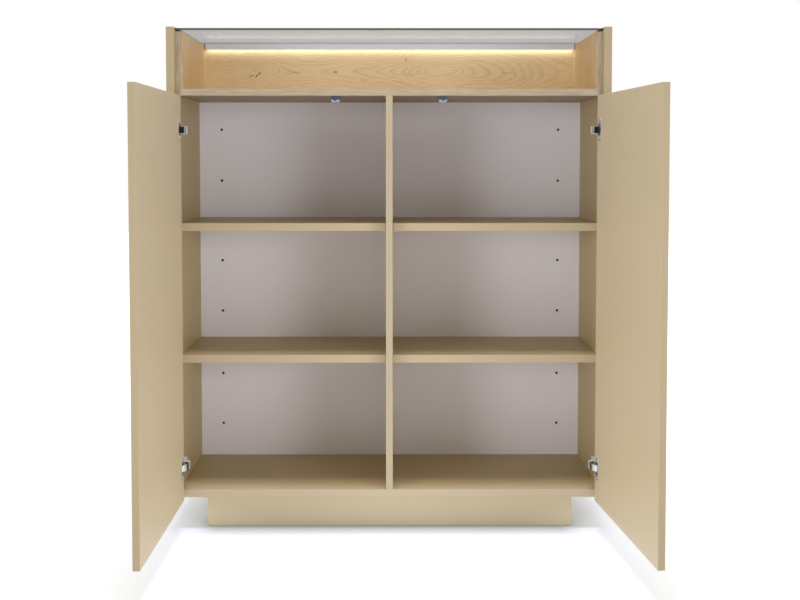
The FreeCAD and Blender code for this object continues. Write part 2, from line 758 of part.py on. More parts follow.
def turn_with(item, side, opening, level):
    """Place a piece that was drawn about the turning axis at its door, opened by an angle."""
    sign = SIDES[side]
    turn = Rotation(Vector(0, 0, 1), sign * opening)
    if side == "right":
        turn = turn.multiply(HALF_TURN)
    item.Placement = Placement(Vector(0, 0, 0), turn)
    place(item, sided(sign, PIVOT_X), PIVOT_Y, level)


OPENINGS = {"left": LEFT_DOOR_OPEN, "right": RIGHT_DOOR_OPEN}
DOOR_MIDDLE = f"(({DOOR_TOP} + {DOOR_BOTTOM}) / 2)"


def make_door(side):
    """A slab door with two blind cup bores and four pilot holes on its inner face."""
    half = f"(({DOOR_TOP} - {DOOR_BOTTOM}) / 2)"
    body = new_body(f"{side}_door")
    outline = rectangle(DOOR_EDGE, f"-{half}", f"({DOOR_EDGE} + {DOOR_WIDTH})", half)
    pad(body, "XZ_Plane", outline, "(-sizes.pivot_front_gap)", "sizes.door_thickness")
    soften(body)
    middles = [f"({step} * ({half} - sizes.hinge_inset))" for step in (-1, 1)]
    depth = "(sizes.cup_depth + sizes.seat_gap)"
    cut(body, "XZ_Plane", None, f"({DOOR_FACE} - {depth})", depth,
        circles=[(CUP_CENTRE, up) for up in middles],
        radius="(sizes.cup_radius + sizes.cup_bore_clearance)")
    spots = [(CUP_SCREW_X, f"({up} + {step} * sizes.cup_screw_spacing / 2)")
             for up in middles for step in (-1, 1)]
    depth = "(sizes.cup_screw_length - sizes.hinge_sheet + sizes.seat_gap)"
    cut(body, "XZ_Plane", None, f"({DOOR_FACE} - {depth})", depth, circles=spots,
        radius="(sizes.hinge_screw_radius + sizes.fit_clearance)")
    turn_with(body, side, OPENINGS[side], DOOR_MIDDLE)
    return keep(body, f"{side}_door")


def make_hinge_cup(label, side, level):
    """The cup with its flange and two cheeks, let into the door's inner face."""
    body = new_body(label)
    base = f"({DOOR_FACE} - sizes.cup_depth)"
    spot = [(CUP_CENTRE, MIDDLE)]
    pad(body, "XZ_Plane", None, base, "sizes.cup_depth", circles=spot, radius="sizes.cup_radius")
    bottom = body.Tip
    rim = [f"Edge{number}" for number, edge in enumerate(bottom.Shape.Edges, start=1)
           if abs(edge.BoundBox.YMax - value(base)) < value("sizes.cup_wall")]
    fillet = body.newObject("PartDesign::Fillet", "fillet")
    fillet.Base = (bottom, rim)
    bind(fillet, "Radius", "sizes.cup_bottom_fillet")
    doc.recompute()
    pad(body, "XZ_Plane", None, DOOR_FACE, "sizes.hinge_sheet", circles=spot,
        radius="(sizes.cup_radius + sizes.flange_rim)")
    left = f"({CUP_SCREW_X} - sizes.flange_width / 2)"
    right = f"({CUP_SCREW_X} + sizes.flange_width / 2)"
    tall = "(sizes.flange_length / 2)"
    corner = "sizes.flange_corner"
    ears = [(left, f"(-{tall} + {corner})"), (f"({left} + {corner})", f"-{tall}"),
            (f"({right} - {corner})", f"-{tall}"), (right, f"(-{tall} + {corner})"),
            (right, f"({tall} - {corner})"), (f"({right} - {corner})", tall),
            (f"({left} + {corner})", tall), (left, f"({tall} - {corner})")]
    pad(body, "XZ_Plane", ears, DOOR_FACE, "sizes.hinge_sheet")
    depth = "(sizes.cup_depth - sizes.cup_wall + sizes.hinge_sheet)"
    cut(body, "XZ_Plane", None, f"({base} + sizes.cup_wall)", depth, circles=spot,
        radius="(sizes.cup_radius - sizes.cup_wall)")
    screws = [(CUP_SCREW_X, f"({step} * sizes.cup_screw_spacing / 2)") for step in (-1, 1)]
    cut(body, "XZ_Plane", None, DOOR_FACE, "sizes.hinge_sheet", circles=screws,
        radius="(sizes.hinge_screw_radius + sizes.fit_clearance)")
    for step in (-1, 1):
        near = f"({step} * {CHEEK_HALF})"
        far = f"({step} * (sizes.arm_width / 2))"
        low, high = (near, far) if step > 0 else (far, near)
        cheek = rectangle(f"({CUP_CENTRE} - sizes.cup_radius / 2)", f"{low}",
                          f"({CUP_CENTRE} + sizes.cup_radius / 2)", f"{high}")
        pad(body, "XZ_Plane", cheek, f"({base} + sizes.cup_wall)",
            "(sizes.cup_depth - sizes.cup_wall + sizes.hinge_sheet)")
    turn_with(body, side, OPENINGS[side], level)
    return keep(body, label)


def make_hinge_arm(label, side, level):
    """The cranked arm: a folded channel that reaches from the mounting plate to the door."""
    nose_end = f"({ARM_FRONT} + sizes.arm_nose_length)"
    slope_end = f"({nose_end} + sizes.arm_slope_length)"
    rear_end = f"({slope_end} + sizes.arm_rear_length)"
    nose = "sizes.arm_nose_level"
    rear = "sizes.arm_rear_level"
    outline = [("sizes.arm_nose_bottom", ARM_FRONT), (nose, ARM_FRONT), (nose, nose_end),
               (rear, slope_end), (rear, rear_end), ("sizes.arm_rear_bottom", rear_end),
               ("sizes.arm_rear_bottom", slope_end), ("sizes.arm_nose_bottom", nose_end)]
    body = new_body(label)
    half = "(sizes.arm_width / 2)"
    pad(body, "XY_Plane", outline, f"-{half}", "sizes.arm_width")
    low = f"({WALL_X})"
    before = f"({ARM_FRONT} - sizes.overrun)"
    after = f"({rear_end} + sizes.overrun)"
    hollow = [(low, before), (f"({nose} - sizes.hinge_sheet)", before),
              (f"({nose} - sizes.hinge_sheet)", nose_end),
              (f"({rear} - sizes.hinge_sheet)", slope_end),
              (f"({rear} - sizes.hinge_sheet)", after), (low, after)]
    cut(body, "XY_Plane", hollow, f"-{CHEEK_HALF}", f"(2 * {CHEEK_HALF})")
    spots = [(deep, MIDDLE) for deep in arm_screw_places()]
    cut(body, "YZ_Plane", None, f"({rear} - 2 * sizes.hinge_sheet)", "(3 * sizes.hinge_sheet)",
        circles=spots, radius="(sizes.arm_screw_radius + sizes.fit_clearance)")
    turn_with(body, side, 0, level)
    return keep(body, label)


def arm_screw_places():
    """Return the depths of the two screws on an arm's rear."""
    start = f"({ARM_FRONT} + sizes.arm_nose_length + sizes.arm_slope_length)"
    first = f"({start} + sizes.arm_screw_inset)"
    return (first, f"({first} + sizes.arm_screw_spacing)")


def make_hinge_plate(label, side, level):
    """The mounting plate: two screwed wings and a raised block that carries the arm."""
    body = new_body(label)
    half = "(sizes.plate_wing_height / 2)"
    wide = "(sizes.plate_wing_width / 2)"
    centre = "sizes.plate_setback"
    corner = "sizes.plate_corner"
    wing = [(f"({centre} - {wide})", f"(-{half} + {corner})"),
            (f"({centre} - {wide} + {corner})", f"-{half}"),
            (f"({centre} + {wide} - {corner})", f"-{half}"),
            (f"({centre} + {wide})", f"(-{half} + {corner})"),
            (f"({centre} + {wide})", f"({half} - {corner})"),
            (f"({centre} + {wide} - {corner})", half),
            (f"({centre} - {wide} + {corner})", half),
            (f"({centre} - {wide})", f"({half} - {corner})")]
    pad(body, "YZ_Plane", wing, WALL_X, "sizes.plate_thickness")
    front = f"({ARM_FRONT} + sizes.arm_nose_length + sizes.arm_slope_length)"
    block = rectangle(front, f"-{LINK_HALF}", f"({front} + sizes.plate_block_length)", LINK_HALF)
    top = "(sizes.arm_rear_level - sizes.hinge_sheet - sizes.seat_gap)"
    pad(body, "YZ_Plane", block, WALL_X, f"({top} - {WALL_X})")
    screws = [(centre, f"({step} * sizes.plate_screw_spacing / 2)") for step in (-1, 1)]
    cut(body, "YZ_Plane", None, WALL_X, "sizes.plate_thickness", circles=screws,
        radius="(sizes.plate_screw_radius + sizes.fit_clearance)")
    depth = "(sizes.arm_screw_length + sizes.seat_gap)"
    spots = [(deep, MIDDLE) for deep in arm_screw_places()]
    cut(body, "YZ_Plane", None, f"({top} - {depth})", depth, circles=spots,
        radius="(sizes.arm_screw_radius + sizes.fit_clearance)")
    turn_with(body, side, 0, level)
    return keep(body, label)


def make_hinge_link(label, side, level, outer, thickness, start, ratio):
    """A curved link that slides out of the cup and the arm as the door opens.

    The link is a stretch of a ring about the turning axis. The start angle is the link's lower end
    on the closed door. On the open door it lies that angle less the link's share of the opening.
    """
    ring = doc.addObject("Part::Cylinder", "ring")
    hole = doc.addObject("Part::Cylinder", "hole")
    for cylinder in (ring, hole):
        cylinder.Angle = LINK_ARC
        bind(cylinder, "Height", f"(2 * {LINK_HALF})")
        bind(cylinder, "Placement.Base.z", f"-{LINK_HALF}")
    hole.Angle = 360
    bind(ring, "Radius", outer)
    bind(hole, "Radius", f"({outer} - {thickness})")
    link = doc.addObject("Part::Cut", label)
    link.Base = ring
    link.Tool = hole
    doc.recompute()
    lower = start - ratio * OPENINGS[side]
    turn = Rotation(Vector(0, 0, 1), lower)
    if side == "right":
        turn = HALF_TURN.multiply(turn)
    link.Placement = Placement(Vector(0, 0, 0), turn)
    place(link, sided(SIDES[side], PIVOT_X), PIVOT_Y, level)
    return keep(link, label)


def make_cup_screws(side):
    """The four screws that hold a door's two hinge cups."""
    cup_shank = ("sizes.hinge_screw_radius", "sizes.cup_screw_length",
                 "sizes.hinge_screw_head_radius", "sizes.hinge_screw_head")
    half = f"(({DOOR_TOP} - {DOOR_BOTTOM}) / 2)"
    cup_screws = []
    for end in (-1, 1):
        for step in (-1, 1):
            up = f"({end} * ({half} - sizes.hinge_inset) + {step} * sizes.cup_screw_spacing / 2)"
            cup_screws.append(screw(Vector(0, -1, 0), cup_shank, CUP_SCREW_X, FLANGE_TOP, up))
    compound = group(f"{side}_cup_screws", cup_screws)
    turn_with(compound, side, OPENINGS[side], DOOR_MIDDLE)


def make_carcass_hinge_screws():
    """The screws that hold the mounting plates to the side panels and the arms to the plates."""
    plate_shank = ("sizes.plate_screw_radius", "sizes.plate_screw_length",
                   "sizes.hinge_screw_head_radius", "sizes.hinge_screw_head")
    arm_shank = ("sizes.arm_screw_radius", "sizes.arm_screw_length",
                 "sizes.hinge_screw_head_radius", "sizes.hinge_screw_head")
    plate_screws = []
    arm_screws = []
    for sign in SIDES.values():
        outward = Vector(sign, 0, 0)
        plate_x = sided(sign, f"({INNER} - sizes.plate_thickness)")
        plate_screws += [screw(outward, plate_shank, plate_x, deep, up)
                         for deep, up in plate_screw_places()]
        arm_x = sided(sign, f"({PIVOT_X} - sizes.arm_rear_level)")
        arm_screws += [screw(outward, arm_shank, arm_x, f"({PIVOT_Y} + {deep})", up)
                       for up in LEVELS.values() for deep in arm_screw_places()]
    group("plate_screws", plate_screws)
    group("arm_screws", arm_screws)


def make_hinges(side):
    """Both hinges of a door."""
    for name, level in LEVELS.items():
        make_hinge_cup(f"{side}_{name}_hinge_cup", side, level)
        make_hinge_arm(f"{side}_{name}_hinge_arm", side, level)
        make_hinge_plate(f"{side}_{name}_hinge_plate", side, level)
        make_hinge_link(f"{side}_{name}_outer_link", side, level, "sizes.outer_link_radius",
                        "sizes.outer_link_thickness", OUTER_LINK_START, OUTER_LINK_RATIO)
        make_hinge_link(f"{side}_{name}_inner_link", side, level, "sizes.inner_link_radius",
                        "sizes.inner_link_thickness", INNER_LINK_START, INNER_LINK_RATIO)
    make_cup_screws(side)


def latch_front():
    """Return the depth of the latch housings' front, behind the plunger's travel."""
    return (f"({DOOR_INNER} + sizes.plunger_gap + sizes.plunger_tip_length"
            " + sizes.plunger_travel + sizes.latch_front_gap)")


def latch_screw_places():
    """Return the places of both latches' screws in plan, two in the middle of each ear."""
    deep = f"({latch_front()} + sizes.latch_length + sizes.latch_ear_length / 2)"
    return [(f"({sign} * sizes.latch_offset + {step} * sizes.latch_width / 4)", deep)
            for sign in SIDES.values() for step in (-1, 1)]


def make_latch_screws():
    """The screws that hold the latch housings under the niche floor."""
    shank = ("sizes.hinge_screw_radius", "sizes.latch_screw_length",
             "sizes.hinge_screw_head_radius", "sizes.hinge_screw_head")
    under = f"({NICHE_UNDER} - sizes.latch_ear_thickness)"
    group("latch_screws", [screw(Vector(0, 0, 1), shank, across, deep, under)
                           for across, deep in latch_screw_places()])


def make_latch(side, sign):
    """A push latch: a housing screwed under the niche floor and its sprung plunger."""
    across = sided(sign, "sizes.latch_offset")
    tip_front = f"({DOOR_INNER} + sizes.plunger_gap)"
    tip_rear = f"({tip_front} + sizes.plunger_tip_length)"
    front = latch_front()
    low = f"({NICHE_UNDER} - sizes.latch_height)"
    axis = f"({NICHE_UNDER} - sizes.latch_height / 2)"
    left = f"({across} - sizes.latch_width / 2)"
    right = f"({across} + sizes.latch_width / 2)"
    corner = "sizes.latch_corner"
    body = new_body(f"{side}_latch_housing")
    outline = [(left, NICHE_UNDER), (left, f"({low} + {corner})"), (f"({left} + {corner})", low),
               (f"({right} - {corner})", low), (right, f"({low} + {corner})"),
               (right, NICHE_UNDER)]
    pad(body, "XZ_Plane", outline, front, "sizes.latch_length")
    rear = f"({front} + sizes.latch_length)"
    ear = f"({rear} + sizes.latch_ear_length)"
    pad(body, "XY_Plane", rectangle(left, rear, right, ear),
        f"({NICHE_UNDER} - sizes.latch_ear_thickness)", "sizes.latch_ear_thickness")
    bore = "(sizes.plunger_radius + sizes.plunger_clearance)"
    depth = "(sizes.plunger_length + sizes.seat_gap)"
    cut(body, "XZ_Plane", None, front, depth, circles=[(across, axis)], radius=bore)
    own = [spot for spot in latch_screw_places() if value(spot[0]) * sign > 0]
    cut(body, "XY_Plane", None, f"({NICHE_UNDER} - sizes.latch_ear_thickness)",
        "sizes.latch_ear_thickness", circles=own,
        radius="(sizes.hinge_screw_radius + sizes.fit_clearance)")
    keep(body, f"{side}_latch_housing")
    shaft = rod(Vector(0, 1, 0), "sizes.plunger_radius", "sizes.plunger_length",
                across, tip_rear, axis)
    tip = rod(Vector(0, 1, 0), "sizes.plunger_tip_radius", "sizes.plunger_tip_length",
              across, tip_front, axis)
    plunger = joined([shaft, tip])
    doc.recompute()
    return keep(plunger, f"{side}_latch_plunger")


def check_and_write():
    """Stop if any object failed, then write each piece to its own file."""
    doc.recompute()
    for item in doc.Objects:
        if "Invalid" in item.State or "Error" in item.State:
            raise ValueError(f"{item.Label} did not compute: {item.State}")
    for item in nodes:
        if item.Shape.isNull() or not item.Shape.isValid():
            raise ValueError(f"{item.Label} has no valid shape")
    os.makedirs("parts", exist_ok=True)
    for item in nodes:
        item.Shape.exportStep(f"parts/{item.Label}.step")
    print(f"{len(nodes)} pieces written")


for name, direction in SIDES.items():
    make_side_panel(name, direction)
make_bottom_panel()
make_divider()
make_backs()
make_niche()
make_glass()
make_light()
make_shelves()
make_plinth()
make_dowels()
for name, direction in SIDES.items():
    make_door(name)
    make_hinges(name)
    make_latch(name, direction)
make_carcass_hinge_screws()
make_latch_screws()
check_and_write()
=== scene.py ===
import json
import math

import bpy
import numpy as np
from bpy.props import FloatProperty, FloatVectorProperty, PointerProperty
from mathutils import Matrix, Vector

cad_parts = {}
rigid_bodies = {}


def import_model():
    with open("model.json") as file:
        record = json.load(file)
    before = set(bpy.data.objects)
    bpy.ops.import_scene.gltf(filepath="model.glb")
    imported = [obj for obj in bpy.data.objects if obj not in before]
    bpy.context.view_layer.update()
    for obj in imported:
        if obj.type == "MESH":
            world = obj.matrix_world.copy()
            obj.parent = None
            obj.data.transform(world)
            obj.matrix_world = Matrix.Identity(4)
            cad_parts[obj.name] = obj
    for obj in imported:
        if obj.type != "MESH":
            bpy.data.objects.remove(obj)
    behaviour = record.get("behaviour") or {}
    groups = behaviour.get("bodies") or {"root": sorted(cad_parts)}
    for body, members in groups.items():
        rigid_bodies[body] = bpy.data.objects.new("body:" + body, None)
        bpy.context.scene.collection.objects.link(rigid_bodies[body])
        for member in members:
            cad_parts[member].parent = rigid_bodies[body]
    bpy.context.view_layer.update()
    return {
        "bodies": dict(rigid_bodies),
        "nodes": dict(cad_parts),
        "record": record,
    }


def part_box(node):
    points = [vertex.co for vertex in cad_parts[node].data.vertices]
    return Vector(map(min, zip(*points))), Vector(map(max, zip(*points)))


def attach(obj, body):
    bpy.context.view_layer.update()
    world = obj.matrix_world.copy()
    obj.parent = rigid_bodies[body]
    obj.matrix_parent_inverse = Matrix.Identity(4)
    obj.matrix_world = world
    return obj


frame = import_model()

bl_info = {
    "name": "Sideboard finishes",
    "version": (1, 0, 0),
    "blender": (4, 5, 0),
    "location": "View3D > Sidebar > Sideboard",
    "description": "Gives the sideboard its finishes, small fittings, light and studio",
    "category": "Object",
}

MM = 0.001  # a millimetre in metres
WHITE = (1.0, 1.0, 1.0, 1.0)
CLEAR_COAT_IOR = 1.5  # glass, lacquer and oil
FACING = 0.9  # cosine of the widest angle at which a face still faces an axis
SINK = 0.1 * MM  # a fitted head reaches this far into what carries it


def linear(code):
    """Turn an sRGB hex colour into linear red, green, blue and alpha.

    Each channel c becomes c / 12.92 up to 0.04045, and ((c + 0.055) / 1.055) ** 2.4 above it.
    """
    shares = [int(code[place:place + 2], 16) / 255 for place in (0, 2, 4)]
    bent = [c / 12.92 if c <= 0.04045 else ((c + 0.055) / 1.055) ** 2.4 for c in shares]
    return (*bent, 1.0)


def darker(tone, share):
    """Return a share of a linear colour."""
    return (*(part * share for part in tone[:3]), 1.0)


def colour(title, code, words):
    """Declare a colour that the user may change."""
    return FloatVectorProperty(name=title, description=words, default=linear(code), size=4,
                               subtype="COLOR", min=0.0, max=1.0)


def length(title, millimetres, words):
    """Declare a length that the user may change."""
    return FloatProperty(name=title, description=words, default=millimetres * MM,
                         unit="LENGTH", precision=5)


def level(title, default, words, unit="NONE"):
    """Declare a brightness, or a power in watts, that the user may change."""
    return FloatProperty(name=title, description=words, default=default, min=0.0, unit=unit)


class SideboardColours(bpy.types.PropertyGroup):
    """The colours of the finishes."""

    lacquer: colour("Lacquer", "d0bf9f", "Beige of the sprayed boards")
    lacquer_outside: colour("Lacquer, outside", "c4b597", "Outer faces of doors and sides")
    # Painted light and shade: the door insides are lighter, and the side insides, edges, divider
    # front, shelf fronts and tops darker, for how the light falls on them
    lacquer_door_painted_light: colour("Lacquer, door insides", "d7c6a5", "Inner faces of the doors")
    lacquer_side_painted_shade: colour("Lacquer, side insides", "bda97b", "Inner faces of the side panels")
    lacquer_front_painted_shade: colour("Lacquer, divider", "bdae93", "Front edge of the divider")
    lacquer_edge_painted_shade: colour("Lacquer, edges", "ae9b7b", "Edges of the doors and side panels")
    lacquer_shelf_painted_shade: colour("Lacquer, shelves", "c5b292", "Front edges of the shelves")
    lacquer_top_painted_shade: colour("Lacquer, tops", "b6a377", "The upper faces of the shelves")
    oak_light: colour("Oak, early wood", "e6d0a8", "Pale part of each growth ring")
    oak_dark: colour("Oak, late wood", "c9a778", "Dark line of each growth ring")
    oak_edge: colour("Oak edge band", "bdae95", "Greyer veneer on the front edges")
    # Painted shade on the faces that look down, and the dark streaks of the edge band
    oak_streak_and_under_shade: colour("Oak, underside", "9b8369", "Plainer veneer under the niche")
    # Painted highlight: the niche light catching each upright's rear edge
    oak_rear_highlight: colour("Oak seam", "f6e4bf", "Pale line where an upright meets the back")
    oak_mark: colour("Oak knots", "5a4230", "Knots and small checks")
    # Raw fibreboard's colour, darkened to near black as painted shade in the back's holes
    core: colour("Board core", "0e0b0a", "Raw fibreboard inside the back's holes")
    back_outside: colour("Back, outside", "b5a58d", "Unprinted face towards the wall")
    taupe: colour("Back board", "f6f3fc", "Grey of the cupboard's back")
    taupe_cloud: colour("Back board, cloud", "bebbc1", "Tone that clouds the back's grey")
    glass_mirror: colour("Glass mirror", "e9ebee", "Tint of what the glass mirrors")
    glass_edge: colour("Glass edge", "5f574c", "Dark ground edge of the glass")
    # Painted light on the glass's rear edge
    glass_rear_painted_light: colour("Glass, rear edge", "d6dade", "Paler edge that the backdrop lights")
    glass_tint: colour("Glass tint", "f1f2f3", "What light keeps on its way through")
    glass_deep: colour("Glass, flat view", "d6d8da", "What it keeps on a long way through")
    opal: colour("Opal strip", "fbf6ea", "Plastic over the niche light")
    niche_light: colour("Niche light", "effdff", "Cool white of the strip in the niche")
    latch_shell: colour("Latch shell", "b4bac4", "Pale lower shell of the push latches")
    # A bluer tone, painted to cancel the warm light that the boards throw on the floor
    floor_near: colour("Floor, near", "dfe8f8", "Floor beside the plinth")
    floor_far: colour("Floor", "e6e8eb", "Floor further off")
    floor_foot: colour("Floor, foot", "7f8790", "Contact shade in front of the plinth")


class SideboardSizes(bpy.types.PropertyGroup):
    """The sizes of small fittings and patterns."""

    ring_width: length("Ring width", 6.0, "Spacing of the growth rings on the veneer")
    pore_length: length("Pore length", 40.0, "Length of the pore streaks")
    pore_width: length("Pore width", 2.0, "Width of the pore streaks, drawn coarser to show")
    peel_size: length("Spray texture", 2.5, "Grain of the sprayed lacquer")
    head_rise: length("Screw dome", 0.5, "Rise of a screw head above its flat rim")
    recess_depth: length("Cross recess", 0.9, "Depth of the cross in a screw head")
    rivet_radius: length("Rivet radius", 2.2, "Radius of the hinge arms' rivet heads")
    rivet_rise: length("Rivet rise", 0.7, "Rise of the hinge arms' rivet heads")


class SideboardStudio(bpy.types.PropertyGroup):
    """The light of the studio and of the niche."""

    surround: level("Surround", 0.42, "Light from all around")
    backdrop: level("Backdrop", 1.0, "Brightness behind the object")
    softbox: level("Softboxes", 3.8, "Power of each gridded front lamp", "POWER")
    ceiling: level("Ceiling", 185.0, "Power of the broad lamp overhead", "POWER")
    rear_softbox: level("Rear softbox", 22.0, "Power of the lamp behind", "POWER")
    floor_glow: level("Floor glow", 0.46, "Light of the pale floor itself")
    niche_lamp: level("Niche lamp", 0.21, "Power of the strip in the niche", "POWER")
    diffuser_glow: level("Diffuser glow", 0.55, "Strength of the opal strip")


def connect(tree, node, inputs):
    """Set or link a node's inputs by name or number."""
    for name, source in inputs.items():
        if isinstance(source, bpy.types.NodeSocket):
            tree.links.new(source, node.inputs[name])
        else:
            node.inputs[name].default_value = source


def add_node(tree, kind, inputs=None, output=None, **settings):
    """Add a node and return one of its outputs: by name, or else the first that is in use."""
    node = tree.nodes.new("ShaderNode" + kind)
    for name, setting in settings.items():
        setattr(node, name, setting)
    connect(tree, node, inputs or {})
    if output:
        return node.outputs[output]
    return next(socket for socket in node.outputs if socket.enabled)


def new_finish(name):
    """Start a material and return it with its tree, its shader and the object coordinates."""
    material = bpy.data.materials.new(name)
    material.use_nodes = True
    tree = material.node_tree
    shader = tree.nodes["Principled BSDF"]
    return material, tree, shader, add_node(tree, "TexCoord", output="Object")


def dress(material, *names):
    """Give carried-over nodes a finish."""
    for name in names:
        item = frame["nodes"][name]
        if not item.material_slots:
            item.data.materials.append(material)
        for slot in item.material_slots:
            slot.material = material


def facing_share(tree, axis, sign=0.0):
    """Return 1 where the surface faces along one axis of the object, or either way for 0."""
    normal = add_node(tree, "TexCoord", output="Normal")
    part = add_node(tree, "SeparateXYZ", {"Vector": normal}, axis)
    turned = add_node(tree, "Math", {0: part, 1: sign},
                      operation="MULTIPLY" if sign else "ABSOLUTE")
    return add_node(tree, "Math", {0: turned, 1: FACING}, operation="GREATER_THAN")


CLOUD_SIZE, CLOUD_SHARE = 350 * MM, 0.95  # the clouds, and the colour they keep


def sprayed_lacquer(name, base, *shading_coats):
    """Matt lacquer sprayed on fibreboard: an even beige, faintly cloudy, with an orange peel.

    A shading coat is (axis, sign, colour): painted light and shade, a tone for the faces along
    that axis, set lighter on the door insides and darker on the other edges, tops and insides for
    how the light falls on them. A fourth number is the depth over which the tone comes in from
    the carcass's front.
    """
    material, tree, shader, place = new_finish(name)
    cloud = add_node(tree, "TexNoise", {"Vector": place, "Scale": 1 / CLOUD_SIZE})
    peel = add_node(tree, "TexNoise", {
        "Vector": place, "Scale": 1 / bpy.context.scene.sideboard_sizes.peel_size})
    tone = add_node(tree, "Mix", {"Factor": cloud, "A": base, "B": darker(base, CLOUD_SHARE)},
                    data_type="RGBA")
    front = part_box("bottom_panel")[0].y
    depth = add_node(tree, "SeparateXYZ", {"Vector": place}, "Y")
    for axis, sign, shading_coat, *reach in shading_coats:
        share = facing_share(tree, axis, sign)
        # The tone fades in over that depth from the front, so the front strip keeps the base as
        # painted light
        for far in reach:
            inward = add_node(tree, "MapRange",
                              {"Value": depth, "From Min": front, "From Max": front + far},
                              interpolation_type="SMOOTHSTEP")
            share = add_node(tree, "Math", {0: share, 1: inward}, operation="MULTIPLY")
        tone = add_node(tree, "Mix", {"Factor": share, "A": tone, "B": shading_coat}, data_type="RGBA")
    rough = add_node(tree, "MapRange", {"Value": peel, "To Min": 0.44, "To Max": 0.54})
    relief = add_node(tree, "Bump", {"Height": peel, "Strength": 0.10, "Distance": 0.0002})
    connect(tree, shader, {"Base Color": tone, "Roughness": rough, "Normal": relief,
                           "IOR": CLEAR_COAT_IOR})
    return material


# Depth of the veneer's cut below the middle of the log, along the board, as shares of its length
# and of LOG_DEPTH. A low place gives closed ovals round it.
BACK_GRAIN = ((0.0, 1.0), (0.05, 0.56), (0.11, 0.06), (0.15, 0.10), (0.21, 0.46), (0.26, 0.54),
              (0.40, 0.48), (0.52, 0.32), (0.58, 0.14), (0.63, 0.06), (0.70, 0.20),
              (0.80, 0.36), (0.94, 0.66), (1.0, 0.70))
FLOOR_GRAIN = ((0.0, 0.5), (0.25, 0.25), (0.5, 0.6), (0.75, 0.3), (1.0, 0.55))
SIDE_GRAIN = ((0.0, 0.75), (0.5, 0.8), (1.0, 0.7))
LOG_DEPTH = 0.1

# Darkness of the wood through one growth ring, as (share of the ring, level)
RING_LEVELS = ((0.0, 0.15), (0.45, 0.05), (0.80, 0.55), (0.92, 1.0), (1.0, 0.2))
DRIFT_ALONG, DRIFT_ACROSS = 2.2, 9.0  # slow sways of the rings in a metre
SWAY = 0.045  # metres that the rings are drawn aside
FAINT_SIZE = 90 * MM  # between places where the rings are faint
UPRIGHT_SHADE = 0.45  # how much nearer the uprights are to the dark tone
HIGHLIGHT_START, HIGHLIGHT_END, HIGHLIGHT_SHARE = 0.007, 0.005, 0.7  # painted highlight where the niche light catches the rear edge, metres from that edge, and its strength
EDGE_LENGTH, EDGE_WIDTH = 60 * MM, 4 * MM  # pores of the edge band, drawn coarser to show
EDGE_START, EDGE_END = 0.0004, 0.0006  # metres behind the front where the edge band ends
MARK_INSIDE, MARK_OUTSIDE = 0.45, 1.25  # a mark fades between these shares of its half sizes

# Knots and checks of the back: across, up, half length, half width in metres, turn and strength
BACK_MARKS = (
    (-0.171, 1.325, 0.0070, 0.0045, 0.0, 0.60),
    (-0.294, 1.323, 0.0160, 0.0030, 0.1, 0.32),
    (0.051, 1.365, 0.0030, 0.0090, 0.2, 0.38),
    (0.058, 1.317, 0.0220, 0.0060, 0.0, 0.14),
    (0.369, 1.322, 0.0240, 0.0050, 0.0, 0.15),
    (-0.434, 1.3128, 0.0110, 0.0019, -0.33, 0.9),
    (-0.418, 1.3125, 0.0070, 0.0024, -0.93, 1.0),
    (-0.409, 1.3202, 0.0075, 0.0021, -0.53, 1.0),
)


def stretch(tree, first, first_count, second, second_count):
    """Return two coordinates as a vector, each times the number of its patterns in a metre."""
    x, y = (add_node(tree, "Math", {0: value, 1: count}, operation="MULTIPLY")
            for value, count in ((first, first_count), (second, second_count)))
    return add_node(tree, "CombineXYZ", {"X": x, "Y": y})


